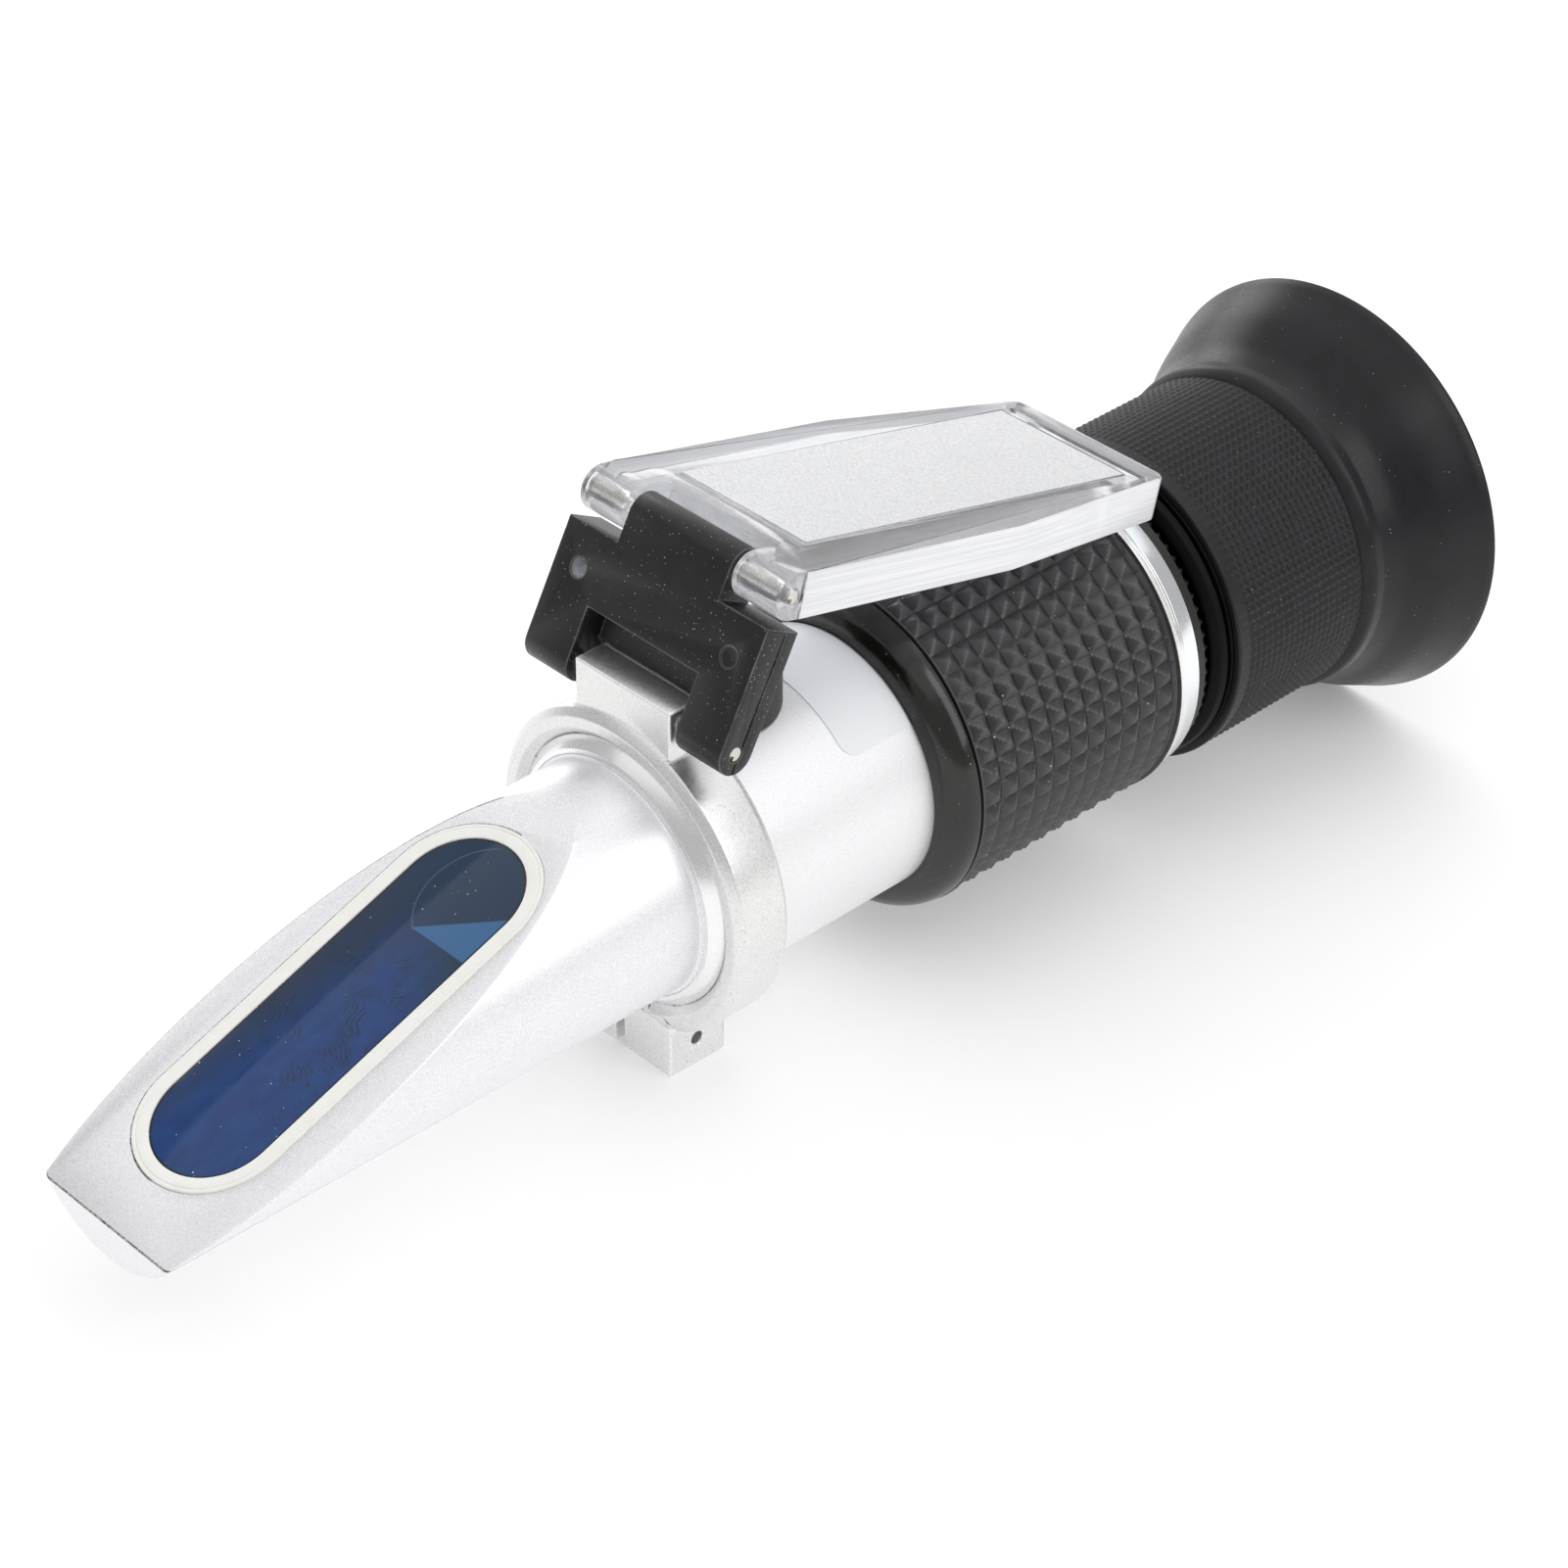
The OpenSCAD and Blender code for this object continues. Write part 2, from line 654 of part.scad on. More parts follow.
prism_tube();
prism();
prism_seal();
light_baffle();
main_tube();
blank_label();
clamp_ring();
clamp_screw();
bezel_ring();
rubber_grip();
end_ring();
calibration_bush();
carrier_guide();
reticle_holder();
reticle();
reticle_retainer();
guide_tube();
focus_retainer();
hinge_link();
lower_hinge_pin();
upper_hinge_pin();
daylight_plate();
calibration_cap();
calibration_screw();
lens_carrier();
bimetal_strip();
strip_screws();
objective_cell();
objective_lens();
focus_ring();
eyecup();
ocular_barrel();
field_lens();
lens_spacer();
eye_lens();
eye_lens_retainer();
focus_key();
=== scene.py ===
import bmesh
import bpy
import json
import math
from mathutils import Euler, Matrix, Vector


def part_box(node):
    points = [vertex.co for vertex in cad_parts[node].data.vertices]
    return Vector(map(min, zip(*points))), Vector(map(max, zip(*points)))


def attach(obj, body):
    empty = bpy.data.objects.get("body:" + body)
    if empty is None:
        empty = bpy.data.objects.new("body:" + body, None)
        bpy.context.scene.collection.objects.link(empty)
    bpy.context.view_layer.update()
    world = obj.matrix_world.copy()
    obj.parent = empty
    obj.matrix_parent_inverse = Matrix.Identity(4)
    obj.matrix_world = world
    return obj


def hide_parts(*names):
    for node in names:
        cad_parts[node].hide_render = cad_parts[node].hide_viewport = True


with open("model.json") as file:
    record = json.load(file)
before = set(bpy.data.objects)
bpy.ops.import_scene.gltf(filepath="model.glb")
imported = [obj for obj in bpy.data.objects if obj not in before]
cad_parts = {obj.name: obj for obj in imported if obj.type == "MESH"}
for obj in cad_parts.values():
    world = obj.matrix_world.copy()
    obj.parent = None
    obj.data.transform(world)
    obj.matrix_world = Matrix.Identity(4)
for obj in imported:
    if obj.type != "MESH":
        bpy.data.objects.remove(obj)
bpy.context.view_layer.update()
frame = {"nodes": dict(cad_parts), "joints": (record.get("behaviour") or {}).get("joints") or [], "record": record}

# Pieces are modelled in millimetres, in one of four frames, and then placed in metres.
# A station is a distance along the optical axis from the clamp ring's front face.
MM = 0.001
STEPS = 240              # sides of a turned piece
PIN_STATION = 2.87
PIN_BORE_R = 0.8         # hole for a hinge pin in the bracket and in the plate's ears
SLEEVE_BORE = 13.87      # inner radius of the clamp ring, the bezel ring and the grip
FACE_ANGLE = 19.7        # slope of the prism face against the optical axis
FACE_DROP = 7.1          # depth of the face's tip edge below the optical axis
WINDOW = (7.1, 42.4, 6.4)     # the glass window's start up the face, length and end radius
WALL = 1.6               # wall of the prism tube under the face
SEAL_WIDTH = 1.6         # room for the seal round the window
FACET_START = 38.0       # how far up the face the prism's rear facet starts
FACET_SIDE = 0.9         # how far across the face the facet's ridge starts
DIMPLE_DEPTH = 0.22      # depth of the ejector marks in the link
PLATE_SLOPE = 14.3       # slope of the daylight plate at rest

joints = {joint["name"]: joint for joint in frame["joints"]}
lower_pin = Vector(joints["link_fold"]["pos_m"])
upper_pin = Vector(joints["plate_fold"]["pos_m"])
axis_z = joints["focus_turn"]["pos_m"][2]
PIN_HEIGHT = (lower_pin.z - axis_z) / MM
zero = Vector((lower_pin.x - PIN_STATION * MM, 0, axis_z))
pin_gap = (upper_pin - lower_pin).length / MM
link_lean = math.atan2(upper_pin.x - lower_pin.x, upper_pin.z - lower_pin.z)


def frame_at(point, turn_y=0.0):
    """Matrix from millimetres in a frame turned about Y to metres in the row frame."""
    return Matrix.Translation(point) @ Matrix.Rotation(turn_y, 4, "Y") @ Matrix.Scale(MM, 4)


def station(x, y=0.0, z=0.0):
    """Row-frame point of a place given along, across and above the optical axis."""
    return zero + Vector((x, y, z)) * MM


def extent(node):
    """Start station, end station, half width, lowest and highest height of a CAD node, in mm."""
    low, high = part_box(node)
    low = (low - zero) / MM
    high = (high - zero) / MM
    return low.x, high.x, high.y, low.z, high.z


tip_x = extent("prism_tube")[0]
AXIS = frame_at(zero)
FACE = frame_at(station(tip_x, 0, -FACE_DROP), -math.radians(FACE_ANGLE))
LINK = frame_at(lower_pin, link_lean)
PLATE = frame_at(upper_pin, math.radians(PLATE_SLOPE))


# ---------------------------------------------------------------- mesh tools

def mesh_object(name, verts, faces):
    """New object from points and faces, with its faces turned outward."""
    mesh = bpy.data.meshes.new(name)
    mesh.from_pydata(verts, [], faces)
    obj = bpy.data.objects.new(name, mesh)
    bpy.context.scene.collection.objects.link(obj)
    face_outward(obj)
    return obj


def face_outward(obj):
    """Merges doubled points and turns the faces outward."""
    work = bmesh.new()
    work.from_mesh(obj.data)
    bmesh.ops.remove_doubles(work, verts=work.verts, dist=1e-5)
    bmesh.ops.recalc_face_normals(work, faces=work.faces)
    work.to_mesh(obj.data)
    work.free()


def soften(corners, steps=5):
    """Closed outline from corners; one given as (a, b, d) is rounded from d before it to d after it."""
    outline = []
    for i, corner in enumerate(corners):
        here = Vector(corner[:2])
        if len(corner) == 2:
            outline.append(here)
            continue
        before = Vector(corners[i - 1][:2])
        after = Vector(corners[(i + 1) % len(corners)][:2])
        start = here + (before - here).normalized() * corner[2]
        end = here + (after - here).normalized() * corner[2]
        for k in range(steps + 1):
            t = k / steps
            outline.append(start * (1 - t) ** 2 + here * (2 * t * (1 - t)) + end * t ** 2)
    return outline


def arc(cx, cy, radius, start, end, steps=12):
    """Points of an arc from one angle to another, in degrees."""
    turns = [math.radians(start + (end - start) * k / steps) for k in range(steps + 1)]
    return [Vector((cx + radius * math.cos(t), cy + radius * math.sin(t))) for t in turns]


def flowing(points, steps=6):
    """Smooth open curve through the points."""
    padded = [points[0]] + list(points) + [points[-1]]
    padded = [Vector(p) for p in padded]
    curve = []
    for a, b, c, d in zip(padded, padded[1:], padded[2:], padded[3:]):
        for k in range(steps):
            t = k / steps
            curve.append(0.5 * (2 * b + (c - a) * t + (2 * a - 5 * b + 4 * c - d) * t ** 2
                                + (3 * b - a - 3 * c + d) * t ** 3))
    return curve + [padded[-1]]


def lathe(name, outline, steps=STEPS, relief=None):
    """Solid of revolution about X from a closed outline of (station, radius) points.

    relief(station, radius, turn) returns how far the surface is raised; turn runs from 0 to 1."""
    verts = []
    rings = []
    for x, r in outline:
        if r < 1e-6:
            rings.append([len(verts)] * steps)
            verts.append((x, 0, 0))
            continue
        rings.append(list(range(len(verts), len(verts) + steps)))
        for k in range(steps):
            a = 2 * math.pi * k / steps
            raised = r + relief(x, r, k / steps) if relief else r
            verts.append((x, raised * math.sin(a), raised * math.cos(a)))
    faces = []
    for ring, after in zip(rings, rings[1:] + rings[:1]):
        for k in range(steps):
            n = (k + 1) % steps
            corners = list(dict.fromkeys((ring[k], ring[n], after[n], after[k])))
            if len(corners) > 2:
                faces.append(corners)
    return mesh_object(name, verts, faces)


def slab(name, outline, z0, z1, axes="XYZ"):
    """Outline extruded from z0 to z1; axes names where its two directions and the extrusion point."""
    order = ["XYZ".index(axis) for axis in axes]
    verts = []
    for height in (z0, z1):
        for a, b in outline:
            point = [0.0, 0.0, 0.0]
            point[order[0]] = a
            point[order[1]] = b
            point[order[2]] = height
            verts.append(point)
    n = len(outline)
    faces = [list(range(n)), list(range(n, 2 * n))]
    faces += [[k, (k + 1) % n, n + (k + 1) % n, n + k] for k in range(n)]
    return mesh_object(name, verts, faces)


def box(name, low, high):
    x0, y0, z0 = low
    x1, y1, z1 = high
    return slab(name, [(x0, y0), (x1, y0), (x1, y1), (x0, y1)], z0, z1)


def circle(centre, radius):
    steps = 64
    return arc(centre[0], centre[1], radius, 0, 360 - 360 / steps, steps - 1)


def rod(name, radius, y0, y1, at=(0, 0)):
    """Round cutter across the part."""
    return slab(name, circle(at, radius), y0, y1, "XZY")


def post(name, radius, z0, z1, at):
    """Round cutter along Z."""
    return slab(name, circle(at, radius), z0, z1)


def plug(name, radius, x0, x1, steps=STEPS):
    """Round cutter along the optical axis."""
    return lathe(name, [(x0, 0), (x0, radius), (x1, radius), (x1, 0)], steps)


def window_outline(grow, steps=48):
    """The window's slot outline with round ends, grown by a margin."""
    start, length, half = WINDOW
    r = half + grow
    near = arc(start + half, 0, r, 90, 270, steps)
    far = arc(start + length - half, 0, r, -90, 90, steps)
    return near + far


def bake(obj):
    """Turns the modifiers into the mesh."""
    graph = bpy.context.evaluated_depsgraph_get()
    mesh = bpy.data.meshes.new_from_object(obj.evaluated_get(graph))
    obj.modifiers.clear()
    obj.data = mesh
    return obj


def combine(obj, tools, operation):
    """Applies a boolean with each tool in turn, and removes the tools."""
    for tool in tools:
        step = obj.modifiers.new("solid", "BOOLEAN")
        step.operation = operation
        step.solver = "EXACT"
        step.object = tool
    bake(obj)
    for tool in tools:
        bpy.data.objects.remove(tool)
    return obj


def cut(obj, *tools):
    return combine(obj, tools, "DIFFERENCE")


def join(obj, *tools):
    return combine(obj, tools, "UNION")


def add_slots(obj, count):
    """Adds empty material slots up to a count, for the material numbers that faces are given."""
    while len(obj.data.materials) < count:
        obj.data.materials.append(None)


def bevel(obj, width, segments=3, angle=30, edge_material=-1):
    """Rounds the edges sharper than an angle, and can give them a material of their own."""
    add_slots(obj, edge_material + 1)
    step = obj.modifiers.new("edges", "BEVEL")
    step.width = width
    step.segments = segments
    step.limit_method = "ANGLE"
    step.angle_limit = math.radians(angle)
    step.use_clamp_overlap = False
    step.material = edge_material
    return bake(obj)


def shade(obj, angle=35):
    obj.data.shade_smooth()
    obj.data.set_sharp_from_angle(angle=math.radians(angle))


def place(obj, where, body, node, paints, angle=35):
    """Puts a finished piece in the row frame in place of its CAD node, with the named materials."""
    obj.data.transform(where)
    shade(obj, angle)
    add_slots(obj, len(paints))
    for index, paint in enumerate(paints):
        obj.data.materials[index] = MATERIALS[paint]
    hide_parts(node)
    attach(obj, body)


# ---------------------------------------------------------------- materials

class Paint:
    """A procedural material on a Principled shader; lengths in it are millimetres."""

    def __init__(self, name, **constants):
        self.name = name
        self.material = bpy.data.materials.new(name)
        self.material.use_nodes = True
        self.tree = self.material.node_tree
        self.shader = self.tree.nodes["Principled BSDF"]
        for socket, value in constants.items():
            self.shader.inputs[socket.replace("_", " ")].default_value = value
        coordinates = self.tree.nodes.new("ShaderNodeTexCoord")
        in_mm = self.tree.nodes.new("ShaderNodeMapping")
        in_mm.inputs["Scale"].default_value = (1 / MM, 1 / MM, 1 / MM)
        self.link(coordinates.outputs["Object"], in_mm.inputs["Vector"])
        self.where = in_mm.outputs["Vector"]

    def link(self, source, socket):
        self.tree.links.new(source, socket)

    def to_shader(self, source, socket):
        self.link(source, self.shader.inputs[socket])

    def stretched(self, grain, slope=0.0):
        """Coordinates in which a pattern's grain is that long along X, Y and Z turned by a slope."""
        node = self.tree.nodes.new("ShaderNodeMapping")
        node.vector_type = "TEXTURE"
        node.inputs["Scale"].default_value = grain
        node.inputs["Rotation"].default_value = (0.0, slope, 0.0)
        self.link(self.where, node.inputs["Vector"])
        return node.outputs["Vector"]

    def along(self, point, direction):
        """Millimetres from a row-frame point along a direction."""
        node = self.tree.nodes.new("ShaderNodeVectorMath")
        node.operation = "DOT_PRODUCT"
        node.inputs[1].default_value = direction
        self.link(self.where, node.inputs[0])
        return self.math("SUBTRACT", node.outputs["Value"], Vector(point).dot(Vector(direction)) / MM)

    def noise(self, scale, detail=3.0, roughness=0.5, grain=None, slope=0.0):
        node = self.tree.nodes.new("ShaderNodeTexNoise")
        node.inputs["Scale"].default_value = scale
        node.inputs["Detail"].default_value = detail
        node.inputs["Roughness"].default_value = roughness
        self.link(self.stretched(grain, slope) if grain else self.where, node.inputs["Vector"])
        return node.outputs["Fac"]

    def cells(self, scale):
        node = self.tree.nodes.new("ShaderNodeTexVoronoi")
        node.inputs["Scale"].default_value = scale
        self.link(self.where, node.inputs["Vector"])
        return node.outputs["Distance"], node.outputs["Color"]

    def span(self, value, low, high, to_low=0.0, to_high=1.0):
        node = self.tree.nodes.new("ShaderNodeMapRange")
        sockets = ("From Min", "From Max", "To Min", "To Max")
        for socket, number in zip(sockets, (low, high, to_low, to_high)):
            node.inputs[socket].default_value = number
        self.link(value, node.inputs["Value"])
        return node.outputs["Result"]

    def math(self, kind, *values):
        node = self.tree.nodes.new("ShaderNodeMath")
        node.operation = kind
        for socket, value in zip(node.inputs, values):
            if isinstance(value, (int, float)):
                socket.default_value = value
            else:
                self.link(value, socket)
        return node.outputs[0]

    def product(self, a, b):
        return self.math("MULTIPLY", a, b)

    def squares(self, a, b):
        """Sum of the squares of two values."""
        return self.math("ADD", self.math("POWER", a, 2), self.math("POWER", b, 2))

    def reach(self, a, b):
        """Distance from the middle of two axes."""
        return self.math("SQRT", self.squares(a, b))

    def blend(self, factor, a, b):
        node = self.tree.nodes.new("ShaderNodeMix")
        node.data_type = "RGBA"
        self.link(factor, node.inputs["Factor"])
        for socket, value in ((node.inputs[6], a), (node.inputs[7], b)):
            if isinstance(value, tuple):
                socket.default_value = (*value, 1.0)
            else:
                self.link(value, socket)
        return node.outputs[2]

    def specks(self, scale, size, share):
        """Small round spots, in a share of the cells of a grid of that scale."""
        distance, colour = self.cells(scale)
        split = self.tree.nodes.new("ShaderNodeSeparateColor")
        self.link(colour, split.inputs["Color"])
        chosen = self.math("LESS_THAN", split.outputs["Red"], share)
        spot = self.span(distance, size * 0.6, size, 1.0, 0.0)
        strength = self.span(split.outputs["Green"], 0.0, 0.6)
        return self.product(self.product(spot, chosen), strength)

    def bump(self, height, depth):
        """Raises the surface by depth millimetres where height is 1."""
        node = self.tree.nodes.new("ShaderNodeBump")
        node.inputs["Distance"].default_value = depth * MM
        self.link(height, node.inputs["Height"])
        self.to_shader(node.outputs["Normal"], "Normal")

    def grained(self, fine, roughness, depth):
        """Roughness that drifts by 0.06 either way, and a bump, both from one fine noise."""
        drift = 0.06
        self.to_shader(self.span(fine, 0.3, 0.7, roughness - drift, roughness + drift), "Roughness")
        self.bump(fine, depth)


def shaded(paint, scale, dark, light):
    """Colour that drifts between two tones."""
    return paint.blend(paint.span(paint.noise(scale), 0.35, 0.65), dark, light)


def metal(name, dark, light, roughness, grain, grain_depth, metallic=1.0, speck=None):
    """Fine-grained metal; with a speck colour it is peppered with that and with near-white."""
    paint = Paint(name, Metallic=metallic)
    fine = paint.noise(grain, 2.0, 0.6)
    colour = paint.blend(paint.span(fine, 0.32, 0.68), dark, light)
    if speck:
        grit = paint.noise(4.5, 2.0, 0.7)
        colour = paint.blend(paint.span(grit, 0.60, 0.74), colour, speck)
        colour = paint.blend(paint.span(grit, 0.40, 0.28), colour, (0.97, 0.97, 0.97))
    paint.to_shader(colour, "Base Color")
    paint.grained(fine, roughness, grain_depth)
    return paint


def black_moulded(name, dark, light, roughness, dust=0.0, grain=5.0, grain_depth=0.01, **constants):
    """Black plastic or rubber, with specks of dust in a share of the cells of its two grids."""
    paint = Paint(name, **constants)
    colour = shaded(paint, 0.4, dark, light)
    if dust:
        large = paint.specks(1.9, 0.095, dust)
        small = paint.product(paint.specks(3.2, 0.14, dust * 1.3), 0.8)
        colour = paint.blend(paint.math("MAXIMUM", large, small), colour, (0.92, 0.93, 0.95))
    paint.to_shader(colour, "Base Color")
    paint.grained(paint.noise(grain, 3.0, 0.6), roughness, grain_depth)
    return paint


def grip_paint():
    """Rubber darkened in the valleys of its pyramids as painted shade, and paler towards their tips, partly worn
    by rubbing and partly painted highlight.
    """
    paint = Paint("grip_rubber", Specular_IOR_Level=0.8)
    tip_r = extent("rubber_grip")[2]
    up = paint.along(zero, (0, 0, 1))
    across = paint.along(zero, (0, 1, 0))
    height = paint.math("SUBTRACT", paint.reach(up, across), tip_r)
    # painted shade in the valleys, fading to paler tips that are part wear and part painted highlight
    valley_shade_and_rub = paint.math("POWER", paint.span(height, -0.60, 0.0), 1.5)
    tone = paint.blend(valley_shade_and_rub, (0.003, 0.003, 0.004), (0.050, 0.051, 0.058))
    dust = paint.product(paint.specks(2.0, 0.18, 0.04), 0.8)
    paint.to_shader(paint.blend(dust, tone, (0.75, 0.76, 0.80)), "Base Color")
    paint.grained(paint.noise(4.0, 3.0, 0.6), 0.33, 0.003)
    return paint


def make_metals():
    """Metals, each with its dark and light tone, roughness, grain, grain depth, metallic and speck."""
    return [
        metal("blasted_aluminium", (0.79, 0.79, 0.82), (0.98, 0.98, 1.0), 0.42, 6.0, 0.006, 0.90),
        metal("satin_aluminium", (0.88, 0.88, 0.90), (0.99, 0.99, 1.0), 0.42, 6.0, 0.004, 0.6),
        metal("label_foil", (0.92, 0.94, 0.97), (0.94, 0.96, 0.99), 0.5, 4.0, 0.002, 0.1),
        metal("die_cast", (0.77, 0.77, 0.765), (0.90, 0.90, 0.895), 0.34, 5.0, 0.003, 0.92,
              (0.52, 0.52, 0.51)),
        metal("worn_edge", (0.96, 0.96, 0.97), (1.0, 1.0, 1.0), 0.24, 6.0, 0.006, 0.4,
              (0.40, 0.40, 0.38)),
        metal("turned_lip", (0.88, 0.88, 0.89), (0.97, 0.97, 0.98), 0.24, 6.0, 0.002),
        # painted highlight for the prism tube's near edge
        metal("painted_highlight_edge", (0.97, 0.97, 0.98), (1.0, 1.0, 1.0), 0.25, 6.0, 0.004, 0.3),
        # dark line of painted shade for the prism tube's tip and far edge
        metal("painted_shade_line", (0.10, 0.10, 0.10), (0.62, 0.62, 0.60), 0.40, 3.5, 0.01, 0.4),
        metal("steel", (0.58, 0.56, 0.51), (0.78, 0.76, 0.71), 0.28, 8.0, 0.006),
        metal("polished_ring", (0.86, 0.88, 0.90), (0.92, 0.94, 0.96), 0.18, 6.0, 0.002),
        metal("cream_edge", (0.93, 0.90, 0.84), (0.97, 0.95, 0.90), 0.35, 6.0, 0.002, 0.7),
        metal("brass", (0.70, 0.52, 0.22), (0.82, 0.64, 0.30), 0.25, 6.0, 0.003),
        metal("bimetal", (0.62, 0.44, 0.30), (0.74, 0.56, 0.38), 0.30, 6.0, 0.003),
        metal("black_anodised", (0.02, 0.02, 0.022), (0.035, 0.035, 0.038), 0.45, 8.0, 0.004),
    ]


def make_blacks():
    """Blacks, each with its dark and light tone, roughness, dust, grain and grain depth."""
    return [
        black_moulded("gloss_black", (0.003, 0.003, 0.002), (0.007, 0.007, 0.005), 0.17, 0.06, 3.0, 0.002,
                      Specular_IOR_Level=0.62),
        grip_paint(),
        black_moulded("black_plastic", (0.004, 0.004, 0.003), (0.008, 0.008, 0.006), 0.40, 0.02),
        black_moulded("collar_black", (0.001, 0.001, 0.001), (0.002, 0.002, 0.002), 0.45, 0.0,
                      Specular_IOR_Level=0.12),
        black_moulded("link_plastic", (0.004, 0.004, 0.005), (0.008, 0.008, 0.010), 0.36, 0.30, 6.0, 0.012),
        black_moulded("link_edge", (0.035, 0.035, 0.035), (0.13, 0.13, 0.13), 0.30, 0.30, 6.0, 0.012),
        black_moulded("link_frost", (0.006, 0.006, 0.006), (0.30, 0.31, 0.33), 0.40, 0.80, 2.5, 0.10),
        black_moulded("cap_rubber", (0.010, 0.010, 0.011), (0.018, 0.018, 0.019), 0.50, 0.06),
        black_moulded("eyecup_rubber", (0.010, 0.010, 0.011), (0.014, 0.014, 0.017), 0.44, 0.03, 3.0, 0.008,
                      Specular_IOR_Level=0.33),
        # glossier, darker copy of the eyecup rubber for the cup; its darker colour is painted shade
        black_moulded("cup_gloss_shaded", (0.003, 0.003, 0.005), (0.005, 0.0055, 0.008), 0.34, 0.03, 3.0, 0.006,
                      Specular_IOR_Level=0.36),
    ]


def cream_paint():
    """Soft sealing compound round the prism."""
    paint = Paint("cream_seal", Subsurface_Weight=0.15, IOR=1.45)
    paint.shader.inputs["Subsurface Radius"].default_value = (0.0012, 0.0010, 0.0008)
    paint.to_shader(shaded(paint, 0.6, (0.96, 0.955, 0.90), (1.0, 0.995, 0.96)), "Base Color")
    fine = paint.noise(4.0)
    paint.to_shader(paint.span(fine, 0.3, 0.7, 0.40, 0.55), "Roughness")
    paint.bump(fine, 0.02)
    return paint


def acrylic_paint(name, clearness):
    """Moulded acrylic with flow lines along the plate; the less clear, the whiter."""
    paint = Paint(name, Transmission_Weight=clearness, IOR=1.49)
    streaks = paint.noise(1.0, 4.0, 0.6, (25.0, 1.5, 0.22), math.radians(PLATE_SLOPE))
    lines = paint.span(streaks, 0.42, 0.58)
    paint.to_shader(paint.blend(lines, (0.86, 0.87, 0.91), (0.99, 0.99, 1.0)), "Base Color")
    paint.to_shader(paint.span(streaks, 0.3, 0.7, 0.04, 0.18), "Roughness")
    paint.bump(streaks, 0.02)
    return paint


def frosted_paint():
    """White pad of fine pebbles on the plate, with painted shade on the borders between the pebbles."""
    paint = Paint("frosted_acrylic", Transmission_Weight=0.15, IOR=1.49)
    pebbles, _ = paint.cells(2.4)
    # painted shade: the pebbles' borders are greyer than their middles
    pebble_border_shade = paint.span(pebbles, 0.25, 0.65)
    paint.to_shader(paint.blend(pebble_border_shade, (1.0, 1.0, 1.0), (0.90, 0.905, 0.935)), "Base Color")
    paint.to_shader(paint.span(pebbles, 0.0, 0.6, 0.30, 0.5), "Roughness")
    paint.bump(pebbles, 0.25)
    return paint


def lens_paint():
    """Coated glass over a dark tube: mostly a blue-violet reflection, with little seen through; its near-black
    base colour is painted shade for the dark tube behind it.
    """
    paint = Paint("optical_glass", Transmission_Weight=0.15, IOR=1.52)
    paint.shader.inputs["Specular Tint"].default_value = (0.45, 0.50, 0.95, 1.0)
    smears = paint.noise(0.3)
    # near-black base colour: painted shade for the dark tube behind the glass
    paint.to_shader(paint.blend(smears, (0.004, 0.005, 0.012), (0.007, 0.009, 0.018)), "Base Color")
    paint.to_shader(paint.span(smears, 0.4, 0.7, 0.0, 0.03), "Roughness")
    return paint


def prism_paint():
    """Blue glass with what shows in it painted on: painted shade at its rear end and far side, a painted highlight
    on its rear facet, a painted reflection of the window's round end, a dark rim of painted shade at its edge, a
    finger mark and dust.
    """
    paint = Paint("prism_glass", IOR=1.52)
    up = paint.along(FACE.translation, FACE.col[0].xyz.normalized())
    across = paint.along((0, 0, 0), (0, 1, 0))
    smudge = paint.noise(0.35, 5.0, 0.65, (1.0, 0.6, 1.0))
    colour = rear_facet(paint, up, across, prism_blue(paint, up, across, smudge))
    arc_line = paint.product(rim_reflection(paint, up, across), 0.5)
    colour = paint.blend(arc_line, colour, (0.10, 0.16, 0.26))
    # painted shade: a near-black line just inside the window's edge
    rim = paint.span(window_distance(paint, up, across), -0.30, -0.12)
    colour = paint.blend(rim, colour, (0.001, 0.001, 0.002))
    colour = paint.blend(fingerprint(paint, up, across), colour, (0.004, 0.022, 0.062))
    dust = paint.math("MAXIMUM", paint.specks(0.9, 0.09, 0.14), paint.specks(2.2, 0.13, 0.05))
    paint.to_shader(paint.blend(dust, colour, (0.80, 0.85, 0.92)), "Base Color")
    paint.to_shader(paint.span(smudge, 0.3, 0.7, 0.03, 0.12), "Roughness")
    return paint


def prism_blue(paint, up, across, smudge):
    """Smudged blue, with painted shade that darkens it toward the far side of the window."""
    blue = paint.blend(paint.span(smudge, 0.35, 0.65), (0.002, 0.034, 0.165), (0.004, 0.052, 0.205))
    # painted shade: darkening toward the far side of the window
    depth = paint.math("ADD", across, paint.product(up, 0.2))
    depth = paint.math("ADD", depth, paint.product(smudge, 2.5))
    return paint.blend(paint.span(depth, 6.8, 12.4), blue, (0.013, 0.030, 0.075))


def rear_facet(paint, up, across, colour):
    """Adds painted shade on the block's rear end, and a painted highlight on the facet beside its ridge."""
    end_lean, ridge_slope, blur = -0.6, 1.254, 0.1
    past = paint.math("SUBTRACT", up, FACET_START)
    # painted shade on the block's rear end
    end_shade = paint.span(paint.math("ADD", past, paint.product(across, end_lean)), -4.0, 3.0)
    colour = paint.blend(end_shade, colour, (0.004, 0.028, 0.072))
    # painted highlight on the facet beside the ridge
    ridge = paint.math("ADD", across, paint.product(past, ridge_slope))
    near_side = paint.span(ridge, FACET_SIDE - blur, FACET_SIDE + blur, 1.0, 0.0)
    facet = paint.product(paint.span(past, -0.05, 0.05), near_side)
    return paint.blend(facet, colour, (0.034, 0.130, 0.300))


